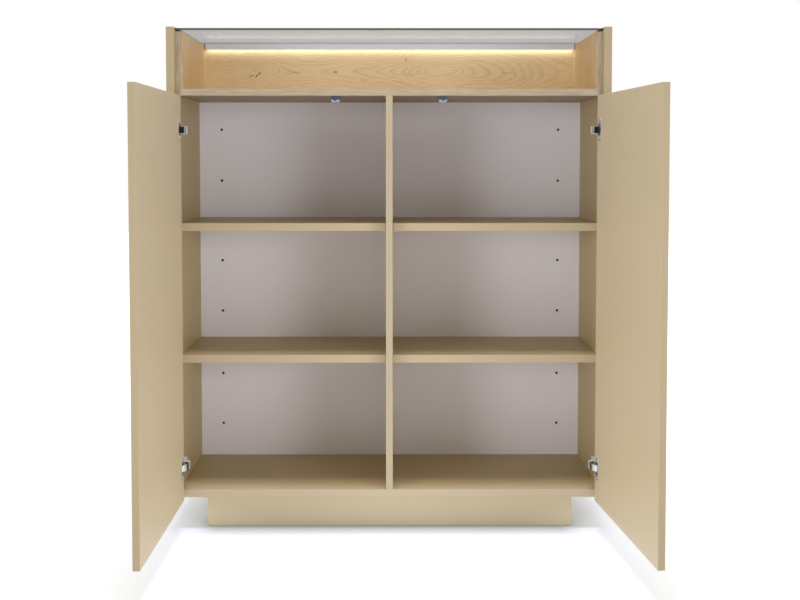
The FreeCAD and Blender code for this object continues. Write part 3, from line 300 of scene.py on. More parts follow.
def oak_veneer(name, board, along, across, grain, marks=(), shade=0.0):
    """Oiled oak veneer: nested rings of a flat-sawn log, pore streaks and a greyer front edge.

    A ring's radius is the length of the vector from the log's middle to the veneer. It has the
    distance across the board and the depth of the cut, which changes along the board. A shade
    above 0 is for the uprights: it darkens the wood and paints a highlight along the rear edge,
    where the niche light catches it.
    """
    colours = bpy.context.scene.sideboard_colours
    sizes = bpy.context.scene.sideboard_sizes
    material, tree, shader, place = new_finish(name)
    low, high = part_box(board)
    axes = add_node(tree, "SeparateXYZ", {"Vector": place}).node.outputs
    way, side = "XYZ".index(along), "XYZ".index(across)

    share = add_node(tree, "MapRange",
                     {"Value": axes[along], "From Min": low[way], "From Max": high[way]})
    cut = add_node(tree, "FloatCurve", {"Value": share})
    points = cut.node.mapping.curves[0].points
    points[0].location, points[1].location = grain[0], grain[-1]
    for spot in grain[1:-1]:
        points.new(*spot)
    cut.node.mapping.update()
    depth = add_node(tree, "Math", {0: cut, 1: LOG_DEPTH}, operation="MULTIPLY")
    slow = stretch(tree, axes[along], DRIFT_ALONG, axes[across], DRIFT_ACROSS)
    drift = add_node(tree, "TexNoise",
                     {"Vector": slow, "Scale": 1.0, "Detail": 4.0, "Roughness": 0.6})
    sway = add_node(tree, "MapRange", {"Value": drift, "To Min": -SWAY, "To Max": SWAY})
    off = add_node(tree, "Math", {0: axes[across], 1: -(low[side] + high[side]) / 2},
                   operation="ADD")
    swayed = add_node(tree, "Math", {0: off, 1: sway}, operation="ADD")
    radius = add_node(tree, "CombineXYZ", {"Y": depth, "Z": swayed})
    reach = add_node(tree, "VectorMath", {0: radius}, operation="LENGTH")
    turns = add_node(tree, "Math", {0: reach, 1: 1 / sizes.ring_width}, operation="MULTIPLY")
    ring = add_node(tree, "Math", {0: turns}, operation="FRACT")
    line = add_node(tree, "ValToRGB", {"Fac": ring})
    stops = line.node.color_ramp.elements
    for at, _ in RING_LEVELS[1:-1]:
        stops.new(at)
    for stop, (_, grey) in zip(stops, RING_LEVELS):
        stop.color = (grey, grey, grey, 1.0)

    streaks = stretch(tree, axes[along], 1 / sizes.pore_length, axes[across],
                      1 / sizes.pore_width)
    pores = add_node(tree, "TexNoise", {"Vector": streaks, "Scale": 1.0})
    pore = add_node(tree, "MapRange",
                    {"Value": pores, "To Min": -0.35 - 1.2 * shade, "To Max": 0.75 + 1.2 * shade})
    faint = add_node(tree, "TexNoise", {"Vector": place, "Scale": 1 / FAINT_SIZE, "Detail": 3.0})
    dark = add_node(tree, "Math", {0: line, 1: faint, 2: pore}, operation="MULTIPLY_ADD")
    tone = add_node(tree, "MapRange",
                    {"Value": drift, "To Min": shade - 0.25, "To Max": shade + 0.45})
    dark = add_node(tree, "Math", {0: dark, 1: tone}, operation="ADD", use_clamp=True)
    layers = [(dark, colours.oak_dark)]
    for x, z, half_length, half_width, turn, strength in marks:
        spot = add_node(tree, "Mapping", {"Vector": place, "Location": (x, low.y, z),
                                          "Rotation": (0.0, turn, 0.0),
                                          "Scale": (half_length, 1.0, half_width)},
                        vector_type="TEXTURE")
        far = add_node(tree, "VectorMath", {0: spot}, operation="LENGTH")
        fade = add_node(tree, "MapRange", {"Value": far, "From Min": MARK_INSIDE,
                                           "From Max": MARK_OUTSIDE, "To Min": strength,
                                           "To Max": 0.0}, interpolation_type="SMOOTHSTEP")
        layers.append((fade, colours.oak_mark))
    if shade:
        # Painted highlight along the rear edge, where the niche light catches it
        rear = add_node(tree, "MapRange", {"Value": axes["Y"], "From Min": high.y - HIGHLIGHT_START,
                                           "From Max": high.y - HIGHLIGHT_END, "To Max": HIGHLIGHT_SHARE})
        layers.append((rear, colours.oak_rear_highlight))

    third = "XYZ".replace(along, "").replace(across, "")
    lines = stretch(tree, axes[along], 1 / EDGE_LENGTH, axes[third], 1 / EDGE_WIDTH)
    streak = add_node(tree, "TexNoise", {"Vector": lines, "Scale": 1.0, "Detail": 3.0})
    mixed = add_node(tree, "MapRange", {"Value": streak, "To Min": 0.55 * shade - 0.95,
                                        "To Max": 0.55 * shade + 1.35})
    band = add_node(tree, "Mix", {"Factor": mixed, "A": colours.oak_edge,
                                  "B": colours.oak_streak_and_under_shade}, data_type="RGBA")
    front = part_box("niche_floor")[0].y
    on_edge = add_node(tree, "MapRange", {"Value": axes["Y"], "From Min": front + EDGE_START,
                                          "From Max": front + EDGE_END, "To Min": 1.0,
                                          "To Max": 0.0})
    # Painted shade: faces that look down take the dark under tone
    layers += [(on_edge, band), (facing_share(tree, "Z", -1.0), colours.oak_streak_and_under_shade)]
    skin = colours.oak_light
    for part, layer in layers:
        skin = add_node(tree, "Mix", {"Factor": part, "A": skin, "B": layer}, data_type="RGBA")
    rough = add_node(tree, "MapRange", {"Value": pores, "To Min": 0.42, "To Max": 0.62})
    relief = add_node(tree, "Bump", {"Height": pores, "Strength": 0.15, "Distance": 0.0003})
    connect(tree, shader, {"Base Color": skin, "Roughness": rough, "Normal": relief,
                           "IOR": CLEAR_COAT_IOR})
    return material


PRINT_GRAIN, PRINT_CLOUD = 1.2 * MM, 500 * MM  # between specks and between clouds
PRINT_SKIN = 0.3 * MM  # the near-black core tone, painted shade in the holes, starts this far inside both faces


def printed_board():
    """Thin fibreboard with a printed matt taupe face: even, with a very fine grain."""
    colours = bpy.context.scene.sideboard_colours
    material, tree, shader, place = new_finish("printed_board")
    fine = add_node(tree, "TexNoise", {"Vector": place, "Scale": 1 / PRINT_GRAIN})
    cloud = add_node(tree, "TexNoise", {"Vector": place, "Scale": 1 / PRINT_CLOUD})
    mixed = add_node(tree, "Math", {0: fine, 1: 0.3, 2: cloud}, operation="MULTIPLY_ADD")
    share = add_node(tree, "MapRange", {"Value": mixed, "To Max": 0.10})
    low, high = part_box("back_panel")
    depth = add_node(tree, "SeparateXYZ", {"Vector": place}, "Y")
    off = add_node(tree, "Math", {0: depth, 1: -(low.y + high.y) / 2}, operation="ADD")
    away = add_node(tree, "Math", {0: off}, operation="ABSOLUTE")
    inside = add_node(tree, "Math", {0: away, 1: (high.y - low.y) / 2 - PRINT_SKIN},
                      operation="LESS_THAN")
    tone = colours.taupe
    # Inside the board's thickness, in the holes and on the cut edges, the near-black core tone is
    # painted shade
    for part, layer in ((share, colours.taupe_cloud), (inside, colours.core),
                        (facing_share(tree, "Y", 1.0), colours.back_outside)):
        tone = add_node(tree, "Mix", {"Factor": part, "A": tone, "B": layer}, data_type="RGBA")
    relief = add_node(tree, "Bump", {"Height": fine, "Strength": 0.06, "Distance": 0.0001})
    connect(tree, shader, {"Base Color": tone, "Normal": relief, "Roughness": 0.6})
    return material


MIRROR_SHARE = 0.28  # the studio behind the camera is dark, so the mirror is weak
SMEAR_SIZE, GRIT_SIZE = 120 * MM, 4 * MM  # wiping marks on the faces, grit of the edges
FLAT_START, FLAT_END = 0.7, 0.92  # facing values between which the view turns flat


def float_glass():
    """Clear float glass with ground edges: it mirrors at a flat angle and looks dark edge on.

    A pane whose outer face mirrors the share f mirrors 2 f / (1 + f) with both its faces.
    """
    colours = bpy.context.scene.sideboard_colours
    material, tree, shader, place = new_finish("float_glass")
    fresnel = add_node(tree, "Fresnel", {"IOR": CLEAR_COAT_IOR})
    hidden = add_node(tree, "NewGeometry", output="Backfacing")
    outside = add_node(tree, "Math", {0: 1.0, 1: hidden}, operation="SUBTRACT")
    once = add_node(tree, "Math", {0: fresnel, 1: outside}, operation="MULTIPLY")
    doubled = add_node(tree, "Math", {0: once, 1: 2.0}, operation="MULTIPLY")
    raised = add_node(tree, "Math", {0: once, 1: 1.0}, operation="ADD")
    full = add_node(tree, "Math", {0: doubled, 1: raised}, operation="DIVIDE")
    share = add_node(tree, "Math", {0: full, 1: MIRROR_SHARE}, operation="MULTIPLY",
                     use_clamp=True)
    smear = add_node(tree, "TexNoise", {"Vector": place, "Scale": 1 / SMEAR_SIZE})
    rough = add_node(tree, "MapRange", {"Value": smear, "To Min": 0.055, "To Max": 0.06})
    connect(tree, shader, {"Base Color": colours.glass_mirror, "Metallic": 1.0,
                           "Roughness": rough})
    slant = add_node(tree, "LayerWeight", {"Blend": 0.5}, "Facing")
    flat = add_node(tree, "MapRange",
                    {"Value": slant, "From Min": FLAT_START, "From Max": FLAT_END})
    dimmed = add_node(tree, "Mix", {"Factor": flat, "A": colours.glass_tint,
                                    "B": colours.glass_deep}, data_type="RGBA")
    clear = add_node(tree, "BsdfTransparent", {"Color": dimmed})
    pane = add_node(tree, "MixShader", {0: share, 1: clear, 2: shader.outputs[0]})
    grit = add_node(tree, "TexNoise", {"Vector": place, "Scale": 1 / GRIT_SIZE})
    # Painted light: the rear edge, which the backdrop lights, takes a paler tone than the dark
    # front and side edges
    depth = add_node(tree, "SeparateXYZ", {"Vector": place}, "Y")
    behind = add_node(tree, "Math", {0: depth, 1: 0.0}, operation="GREATER_THAN")
    ground = add_node(tree, "Mix", {"Factor": behind, "A": colours.glass_edge,
                                    "B": colours.glass_rear_painted_light}, data_type="RGBA")
    rough = add_node(tree, "MapRange", {"Value": grit, "To Min": 0.25, "To Max": 0.4})
    edge = add_node(tree, "BsdfPrincipled", {"Base Color": ground, "Roughness": rough})
    whole = add_node(tree, "MixShader", {0: facing_share(tree, "Z"), 1: edge, 2: pane})
    connect(tree, tree.nodes["Material Output"], {"Surface": whole})
    return material


# Plain finishes and what they give the eye: colour, roughness, grain in millimetres, share of
# metal and strength of the relief
PLAIN_FINISHES = {
    "beech_dowels": ("d8b98a", 0.6, 3.0, 0.0, 0.1),  # turned beech: pale and dry
    "beige_glides": ("b9a57f", 0.55, 1.5, 0.0, 0.1),  # moulded nylon: dull beige
    "black_seal": ("1b1713", 0.5, 2.0, 0.0, 0.1),  # extruded rubber: a dark line
    "clear_pads": ("d2d2cc", 0.3, 2.0, 0.0, 0.1),  # cast silicone: pale, a soft shine
    "anodised_channel": ("e2e4e8", 0.42, 0.8, 0.25, 0.1),  # drawn aluminium: satin, cool
    "light_tape_white": ("ece8dc", 0.5, 2.0, 0.0, 0.1),  # printed circuit tape: white
    "channel_caps": ("2b2826", 0.5, 2.0, 0.0, 0.1),  # moulded plastic: small dark ends
    "nickel_plate": ("eef1f4", 0.3, 4.0, 0.35, 0.04),  # plated steel sheet: light, soft
    "nickel_cup": ("cfced9", 0.24, 4.0, 0.8, 0.04),  # plated drawn cup: clear mirror
    "blued_links": ("20242c", 0.35, 3.0, 0.5, 0.04),  # painted shade: steel links made dark where the hinge's hollow is in shade, with a sheen
    "nickel_screws": ("c9c8c4", 0.28, 2.0, 1.0, 0.05),  # plated screws: bright points
    "zinc_screws": ("b4b5b3", 0.38, 2.0, 1.0, 0.06),  # zinc plate: greyer, duller
    "latch_housing": ("4b5666", 0.42, 1.5, 0.0, 0.1),  # moulded plastic, with painted shade: dark blue-grey on the upper part
    "latch_plunger": ("434e60", 0.4, 1.5, 0.0, 0.1),  # moulded plastic: darker blue-grey
}
SPECK_SHARE = 0.82  # the specks keep this share of the colour
ROUGHNESS_SPREAD = 0.06  # how far the roughness goes with them


def plain_finish(name):
    """A moulded, plated or raw surface: one colour, broken up by a grain of a real size."""
    code, roughness, grain, metallic, strength = PLAIN_FINISHES[name]
    material, tree, shader, place = new_finish(name)
    fine = add_node(tree, "TexNoise", {"Vector": place, "Scale": 1 / (grain * MM)})
    share = add_node(tree, "MapRange", {"Value": fine, "To Max": 0.5})
    tone = add_node(tree, "Mix", {"Factor": share, "A": linear(code),
                                  "B": darker(linear(code), SPECK_SHARE)}, data_type="RGBA")
    rough = add_node(tree, "MapRange", {"Value": fine, "To Min": roughness - ROUGHNESS_SPREAD,
                                        "To Max": roughness + ROUGHNESS_SPREAD})
    relief = add_node(tree, "Bump", {"Height": fine, "Strength": strength, "Distance": 0.0001})
    connect(tree, shader, {"Base Color": tone, "Roughness": rough, "Normal": relief,
                           "Metallic": metallic})
    return material


LATCH_SHELL_SHARE = 0.38  # share of the housing's height that the pale shell takes


def latch_plastic():
    """Moulded housing: painted shade makes its upper part dark blue-grey above a pale lower
    shell.
    """
    material = plain_finish("latch_housing")
    tree = material.node_tree
    shader = tree.nodes["Principled BSDF"]
    body = shader.inputs["Base Color"].links[0].from_socket
    low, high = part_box("left_latch_housing")
    place = add_node(tree, "TexCoord", output="Object")
    up = add_node(tree, "SeparateXYZ", {"Vector": place}, "Z")
    shell = add_node(tree, "Math", {0: up, 1: low.z + LATCH_SHELL_SHARE * (high.z - low.z)},
                     operation="LESS_THAN")
    pale = bpy.context.scene.sideboard_colours.latch_shell
    both = add_node(tree, "Mix", {"Factor": shell, "A": body, "B": pale}, data_type="RGBA")
    connect(tree, shader, {"Base Color": both})
    return material


HAZE_SIZE, HAZE_SHARE = 30 * MM, 0.05  # the haze, and how far the light goes with it


def opal_strip():
    """Opal plastic with light behind it: nearly white and even."""
    scene = bpy.context.scene
    material, tree, shader, place = new_finish("opal_strip")
    haze = add_node(tree, "TexNoise", {"Vector": place, "Scale": 1 / HAZE_SIZE})
    glow = scene.sideboard_studio.diffuser_glow
    strength = add_node(tree, "MapRange", {"Value": haze, "To Min": glow * (1 - HAZE_SHARE),
                                           "To Max": glow * (1 + HAZE_SHARE)})
    connect(tree, shader, {"Base Color": scene.sideboard_colours.opal, "Roughness": 0.45,
                           "Emission Color": scene.sideboard_colours.niche_light,
                           "Emission Strength": strength})
    return material


FLOOR_HALF = 14.0  # metres from the floor's middle to its edges
GLOW_MIDDLE = (0.0, -1.5, 0.0)
GLOW_START, GLOW_END = 2.0, 3.6  # metres from there between which the glow rises to 1
NEAR_END, FAR_START = 0.1, 0.5  # metres from the plinth between which the tone changes
SHADED_REACH, SHADED_LEAST = 0.15, 0.4  # metres from the plinth, and the glow's share there: painted shade
FLOOR_SPECK, SPECK_LEVEL = 10 * MM, 0.02  # the specks, and how far the tone goes with them
FOOT_REACH, FOOT_SHARE = 0.11, 0.8  # metres in front of the plinth, and the shade's share
FOOT_BLUR = 0.03  # half width of the shade's soft sides in metres


def pale_floor():
    """Pale sweep: it takes the soft shadows near the object and is lit to white further off.

    The distance from the plinth is the length of max(|p - m| - h, 0), where m and h are the
    middle and the half size of its outline. Near the plinth the glow is lowered and a contact
    shade is laid in front of it, both painted shade, and a bluer tone offsets the warm light
    that the boards throw on it.
    """
    colours = bpy.context.scene.sideboard_colours
    material, tree, shader, place = new_finish("pale_floor")
    low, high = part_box("plinth_front")
    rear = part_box("plinth_back")[1]
    middle = ((low.x + high.x) / 2, (low.y + rear.y) / 2, 0.0)
    half = ((high.x - low.x) / 2, (rear.y - low.y) / 2, 0.0)
    off = add_node(tree, "VectorMath", {0: place, 1: middle}, operation="SUBTRACT")
    away = add_node(tree, "VectorMath", {0: off}, operation="ABSOLUTE")
    past = add_node(tree, "VectorMath", {0: away, 1: half}, operation="SUBTRACT")
    beside = add_node(tree, "VectorMath", {0: past}, operation="MAXIMUM")
    near = add_node(tree, "VectorMath", {0: beside}, operation="LENGTH")

    # A bluer tone near the plinth, painted to cancel the warm light thrown off the boards
    cool = add_node(tree, "MapRange", {"Value": near, "From Min": NEAR_END,
                                       "From Max": FAR_START, "To Min": 1.0, "To Max": 0.0})
    grain = add_node(tree, "TexNoise", {"Vector": place, "Scale": 1 / FLOOR_SPECK})
    fine = add_node(tree, "MapRange",
                    {"Value": grain, "To Min": -SPECK_LEVEL, "To Max": SPECK_LEVEL})
    mixed = add_node(tree, "Math", {0: cool, 1: fine}, operation="ADD", use_clamp=True)
    gap = add_node(tree, "SeparateXYZ", {"Vector": past}).node.outputs
    inside = add_node(tree, "MapRange", {"Value": gap["X"], "From Min": -FOOT_BLUR,
                                         "From Max": FOOT_BLUR, "To Min": 1.0, "To Max": 0.0})
    foot = add_node(tree, "MapRange", {"Value": gap["Y"], "From Max": FOOT_REACH,
                                       "To Min": FOOT_SHARE, "To Max": 0.0},
                    interpolation_type="SMOOTHSTEP")
    shade = add_node(tree, "Math", {0: inside, 1: foot}, operation="MULTIPLY")
    tone = colours.floor_far
    for part, layer in ((mixed, colours.floor_near), (shade, colours.floor_foot)):
        tone = add_node(tree, "Mix", {"Factor": part, "A": tone, "B": layer}, data_type="RGBA")

    apart = add_node(tree, "VectorMath", {0: place, 1: GLOW_MIDDLE}, operation="DISTANCE")
    glow = add_node(tree, "MapRange", {
        "Value": apart, "From Min": GLOW_START, "From Max": GLOW_END,
        "To Min": bpy.context.scene.sideboard_studio.floor_glow})
    open_share = add_node(tree, "MapRange",
                          {"Value": near, "From Max": SHADED_REACH, "To Min": SHADED_LEAST},
                          interpolation_type="SMOOTHSTEP")
    glow = add_node(tree, "Math", {0: glow, 1: open_share}, operation="MULTIPLY")
    connect(tree, shader, {"Base Color": tone, "Roughness": 0.9, "Emission Color": WHITE,
                           "Emission Strength": glow})
    return material


def ring_faces(rings, steps, first):
    """Return the faces of a closed row of rings: quads between them and a flat end on each.

    Corner t of ring n has the number first + n steps + t. The quads and both ends face outwards
    where t turns counterclockwise about the way that the rings follow.
    """
    row, column = np.meshgrid(np.arange(rings - 1), np.arange(steps), indexing="ij")
    beside = (column + 1) % steps
    quads = np.stack([row * steps + column, row * steps + beside,
                      (row + 1) * steps + beside, (row + 1) * steps + column], axis=-1)
    ends = np.stack([np.arange(steps)[::-1], (rings - 1) * steps + np.arange(steps)])
    return (first + quads.reshape(-1, 4)).tolist() + (first + ends).tolist()


CROSS_WIDTH, CROSS_REACH = 0.16, 0.62  # half width and length of a cross, as shares of a head


def turned_profile(spots, profile, steps, cross=0.0):
    """Turn a profile about each spot's axis and return the vertices and faces of all of them.

    A spot is (centre, axis). A profile point is (radius r, height h) from rim to middle. A vertex
    at angle t is centre + r (cos t u + sin t v) + h axis, with u and v square to the axis. With
    a cross, h sinks by that depth near the lines t = 0 and t = 90 degrees.
    """
    turn = np.linspace(0.0, 2 * math.pi, steps, endpoint=False)
    r, h = profile[:, 0, None], profile[:, 1, None]
    across, along = r * np.cos(turn), r * np.sin(turn)
    near = np.minimum(np.abs(across), np.abs(along))
    inside = (near < r.max() * CROSS_WIDTH) & (r < r.max() * CROSS_REACH)
    rise = h - cross * inside
    vertices, faces = [], []
    for number, (centre, axis) in enumerate(spots):
        axis = Vector(axis).normalized()
        u = axis.orthogonal().normalized()
        v = axis.cross(u)
        ring = (np.array(centre) + across[..., None] * np.array(u)
                + along[..., None] * np.array(v) + rise[..., None] * np.array(axis))
        vertices.append(ring.reshape(-1, 3))
        faces += ring_faces(len(profile), steps, number * len(profile) * steps)
    return np.concatenate(vertices), faces


CAP_STEPS, CAP_POWER = 48, 0.3
CAP_GAP = 0.1 * MM  # between a cap and its upright
CAP_RINGS = ((0.0, 0.95), (0.15, 1.0), (0.85, 1.0), (1.0, 0.95))  # way through, share of size


def rounded_caps(places, half_deep, half_high):
    """Return the vertices and faces of flat caps that lie square to X.

    A place is (start, end, middle y, middle z) with start below end. A vertex of a ring at angle
    t is y = a share sgn(cos t) |cos t| ** 0.3 and z = b share sgn(sin t) |sin t| ** 0.3, a
    superellipse with the half sizes a and b.
    """
    turn = np.linspace(0.0, 2 * math.pi, CAP_STEPS, endpoint=False)
    deep = half_deep * np.sign(np.cos(turn)) * np.abs(np.cos(turn)) ** CAP_POWER
    high = half_high * np.sign(np.sin(turn)) * np.abs(np.sin(turn)) ** CAP_POWER
    way, share = np.array(CAP_RINGS).T[..., None]
    vertices, faces = [], []
    for number, (start, end, y, z) in enumerate(places):
        x = start + (end - start) * np.repeat(way, CAP_STEPS, axis=1)
        vertices.append(np.stack([x, y + share * deep, z + share * high],
                                 axis=-1).reshape(-1, 3))
        faces += ring_faces(len(way), CAP_STEPS, number * len(way) * CAP_STEPS)
    return np.concatenate(vertices), faces


def add_piece(name, shape, material, body):
    """Put a shape's vertices and faces into a mesh and let the piece ride on its body."""
    vertices, faces = shape
    mesh = bpy.data.meshes.new(name)
    mesh.from_pydata(vertices.tolist(), [], faces)
    mesh.validate()
    mesh.polygons.foreach_set("use_smooth", np.ones(len(mesh.polygons), bool))
    mesh.update()
    piece = bpy.data.objects.new(name, mesh)
    bpy.context.scene.collection.objects.link(piece)
    mesh.materials.append(material)
    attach(piece, body)


def add_lamp(name, place, width, height, power):
    """Add a rectangular lamp that shines down, and return its object."""
    lamp = bpy.data.lights.new(name, "AREA")
    lamp.shape = "RECTANGLE"
    lamp.size, lamp.size_y, lamp.energy = width, height, power
    item = bpy.data.objects.new(name, lamp)
    item.location = place
    bpy.context.scene.collection.objects.link(item)
    return item


def corners_of(mesh):
    """Return the places of a mesh's vertices."""
    places = np.empty(len(mesh.vertices) * 3)
    mesh.vertices.foreach_get("co", places)
    return places.reshape(-1, 3)


def solids_of(name):
    """Return the lowest and highest corner of each separate solid of a node.

    Vertices that lie at one place are counted as one, and solids are told apart by the faces
    that join their vertices: each vertex takes the lowest number among its neighbours until
    nothing changes.
    """
    mesh = frame["nodes"][name].data
    places = corners_of(mesh)
    _, same = np.unique(np.round(places, 6), axis=0, return_inverse=True)
    same = same.reshape(-1)
    mesh.calc_loop_triangles()
    faces = np.empty(len(mesh.loop_triangles) * 3, int)
    mesh.loop_triangles.foreach_get("vertices", faces)
    faces = same[faces].reshape(-1, 3)
    label = np.arange(same.max() + 1)
    before = None
    while before is None or (label != before).any():
        before = label.copy()
        least = label[faces].min(axis=1)
        for column in range(3):
            np.minimum.at(label, faces[:, column], least)
        label = label[label]
    mine = label[same]
    return [(places[mine == number].min(axis=0), places[mine == number].max(axis=0))
            for number in np.unique(mine)]


def head_spots(name, axis=None):
    """Return the middle of each screw's outer face: the solid's far side along the axis.

    Without an axis, each screw faces the cupboard's middle.
    """
    spots = []
    for low, high in solids_of(name):
        way = np.array(axis or (-math.copysign(1.0, low[0]), 0.0, 0.0))
        spots.append(((low + high) / 2 + way * ((high - low) / 2 @ np.abs(way)), way))
    return spots


FLAT_BAND = 0.2 * MM  # corners this near to a limit count as lying on it


def door_head_spots(name, axis):
    """Return the screw-head middles on a door that stands at an angle to the axes.

    The head's flat face is the part of the mesh that lies furthest along the axis, and its
    middle is halfway between that face's lowest and highest corner.
    """
    places = corners_of(frame["nodes"][name].data)
    reach = places @ np.array(axis)
    top = places[reach > reach.max() - FLAT_BAND]
    spots = []
    for low, high in solids_of(name):
        mine = top[(top[:, 2] > low[2] - FLAT_BAND) & (top[:, 2] < high[2] + FLAT_BAND)]
        spots.append(((mine.min(axis=0) + mine.max(axis=0)) / 2, axis))
    return spots


HEAD_RINGS, RIVET_RINGS = 14, 8
HEAD_MIDDLE, RIVET_MIDDLE = 0.1 * MM, 0.02  # the flat middle: its radius, its share of the head


def head_profile(radius):
    """Return the domed outline of a screw head: height = rise (1 - (r / radius) squared)."""
    r = np.linspace(radius, HEAD_MIDDLE, HEAD_RINGS)
    h = bpy.context.scene.sideboard_sizes.head_rise * (1 - (r / radius) ** 2)
    return np.stack([np.append(radius, r), np.append(-SINK, h)], axis=1)


def rivet_profile():
    """Return the round outline of a rivet head: height = rise sqrt(1 - (r / radius) squared)."""
    sizes = bpy.context.scene.sideboard_sizes
    share = np.linspace(1.0, RIVET_MIDDLE, RIVET_RINGS)
    h = sizes.rivet_rise * np.sqrt(1 - share ** 2)
    return np.stack([sizes.rivet_radius * np.append(1.0, share), np.append(-SINK, h)], axis=1)


BOTTOM_SHADE_REACH = 0.09  # metres over which painted shade comes in on the bottom board's top, behind a painted lit strip at its front


class SIDEBOARD_OT_boards(bpy.types.Operator):
    """Lacquer the carcass, the doors, the shelves and the plinth, and print the back."""

    bl_idname = "sideboard.boards"
    bl_label = "Lacquered boards"

    def execute(self, context):
        colours = context.scene.sideboard_colours
        names = [row["node"] for row in frame["record"]["subparts"]
                 if row["material_slot"] == "lacquer"]
        beige, outside = colours.lacquer, colours.lacquer_outside
        # Painted shade on the tops, shelf fronts, edges, divider front and side insides, and
        # painted light on the door insides; the bottom's front takes the outer tone
        top, bottom = ("Z", 1.0, colours.lacquer_top_painted_shade), ("Y", -1.0, outside)
        shelf = ("Y", -1.0, colours.lacquer_shelf_painted_shade)
        edge, front = ("Y", 0.0, colours.lacquer_edge_painted_shade), ("Y", 0.0, colours.lacquer_front_painted_shade)
        door, side = colours.lacquer_door_painted_light, colours.lacquer_side_painted_shade
        # A finish takes the boards whose names end so, and the last one takes the rest
        for finish, ending, base, *shading_coats in (
                ("lacquered_shelves", "_shelf", beige, top, shelf),
                ("lacquered_bottom", "bottom_panel", beige, (*top, BOTTOM_SHADE_REACH), bottom),
                ("lacquered_left_side", "left_side_panel", outside, ("X", 1.0, side), edge),
                ("lacquered_right_side", "right_side_panel", outside, ("X", -1.0, side), edge),
                ("lacquered_left_door", "left_door", outside, ("X", 1.0, door), edge),
                ("lacquered_right_door", "right_door", outside, ("X", -1.0, door), edge),
                ("lacquered_divider", "divider_panel", beige, front),
                ("lacquered_plinth", "", beige),
        ):
            mine = [name for name in names if name.endswith(ending)]
            dress(sprayed_lacquer(finish, base, *shading_coats), *mine)
            names = [name for name in names if name not in mine]
        dress(printed_board(), "back_panel")
        dress(plain_finish("beech_dowels"), "carcass_dowels")
        dress(plain_finish("beige_glides"), "plinth_glides")
        return {"FINISHED"}


class SIDEBOARD_OT_niche(bpy.types.Operator):
    """Veneer the niche in oak, each board with the grain along its length."""

    bl_idname = "sideboard.niche"
    bl_label = "Oak niche"

    def execute(self, context):
        dress(oak_veneer("oak_back", "niche_back", "X", "Z", BACK_GRAIN, BACK_MARKS),
              "niche_back")
        dress(oak_veneer("oak_floor", "niche_floor", "X", "Y", FLOOR_GRAIN), "niche_floor")
        dress(oak_veneer("oak_side", "niche_left_side", "Z", "Y", SIDE_GRAIN,
                         shade=UPRIGHT_SHADE), "niche_left_side", "niche_right_side")
        return {"FINISHED"}


class SIDEBOARD_OT_glass(bpy.types.Operator):
    """Glaze the top and lay its dark seals and clear pads."""

    bl_idname = "sideboard.glass"
    bl_label = "Glass top"

    def execute(self, context):
        dress(float_glass(), "glass_top")
        dress(plain_finish("black_seal"), "glass_left_seal", "glass_right_seal")
        dress(plain_finish("clear_pads"), "glass_pads")
        return {"FINISHED"}


LAMP_END_SETBACK = 0.01  # metres by which the lamp is shorter than the strip
LAMP_DROP = 0.001  # and metres that it hangs under it


class SIDEBOARD_OT_light(bpy.types.Operator):
    """Finish the light channel, its strip and tape, and add its end caps and its own lamp."""

    bl_idname = "sideboard.light"
    bl_label = "Niche light"

    def execute(self, context):
        dress(plain_finish("anodised_channel"), "light_profile")
        dress(opal_strip(), "light_diffuser")
        dress(plain_finish("light_tape_white"), "light_tape")
        low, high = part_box("light_profile")
        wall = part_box("niche_right_side")[0].x - CAP_GAP
        middle = ((low.y + high.y) / 2, (low.z + high.z) / 2)
        caps = rounded_caps(((-wall, low.x, *middle), (high.x, wall, *middle)),
                            (high.y - low.y) / 2, (high.z - low.z) / 2)
        add_piece("light_end_caps", caps, plain_finish("channel_caps"), "carcass")
        low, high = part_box("light_diffuser")
        item = add_lamp("niche_lamp",
                        ((low.x + high.x) / 2, (low.y + high.y) / 2, low.z - LAMP_DROP),
                        high.x - low.x - LAMP_END_SETBACK, high.y - low.y,
                        context.scene.sideboard_studio.niche_lamp)
        item.data.color = context.scene.sideboard_colours.niche_light[:3]
        item.parent = frame["bodies"]["carcass"]
        item.visible_glossy = False
        return {"FINISHED"}


RIVET_STEPS = 20
RIVET_PLACES = (0.006, 0.015)  # metres from the arm's nose to its two rivets
RIVET_DEPTH = 0.006  # metres behind the arm's front


class SIDEBOARD_OT_hinges(bpy.types.Operator):
    """Plate the hinges and add the rivet heads on the flanks of their arms."""

    bl_idname = "sideboard.hinges"
    bl_label = "Concealed hinges"

    def execute(self, context):
        bright = plain_finish("nickel_plate")
        names = [row["node"] for row in frame["record"]["subparts"]]
        for finish, endings in (
                (bright, ("_arm", "_plate", "upper_outer_link", "lower_inner_link")),
                (plain_finish("nickel_cup"), ("_cup",)),
                # Painted shade: the links in each hinge's shaded hollow, upper inner and lower
                # outer, are dark
                (plain_finish("blued_links"), ("upper_inner_link", "lower_outer_link")),
        ):
            dress(finish, *[name for name in names if name.endswith(endings)])
        for side in ("left", "right"):
            spots = []
            for height in ("upper", "lower"):
                low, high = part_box(f"{side}_{height}_hinge_arm")
                nose, inward = (low.x, 1) if side == "right" else (high.x, -1)
                for step in RIVET_PLACES:
                    for z, axis in ((low.z, (0, 0, -1)), (high.z, (0, 0, 1))):
                        spots.append(((nose + inward * step, low.y + RIVET_DEPTH, z), axis))
            rivets = turned_profile(spots, rivet_profile(), RIVET_STEPS)
            add_piece(f"{side}_arm_rivets", rivets, bright, "carcass")
        return {"FINISHED"}


HEAD_STEPS = 32
HINGE_HEAD_RADIUS = 3.4 * MM
BACK_HEAD_RADIUS = 3.5 * MM
RIGHT_DOOR_TURN = math.radians(95 - 90)  # the right door stands open at 95 degrees


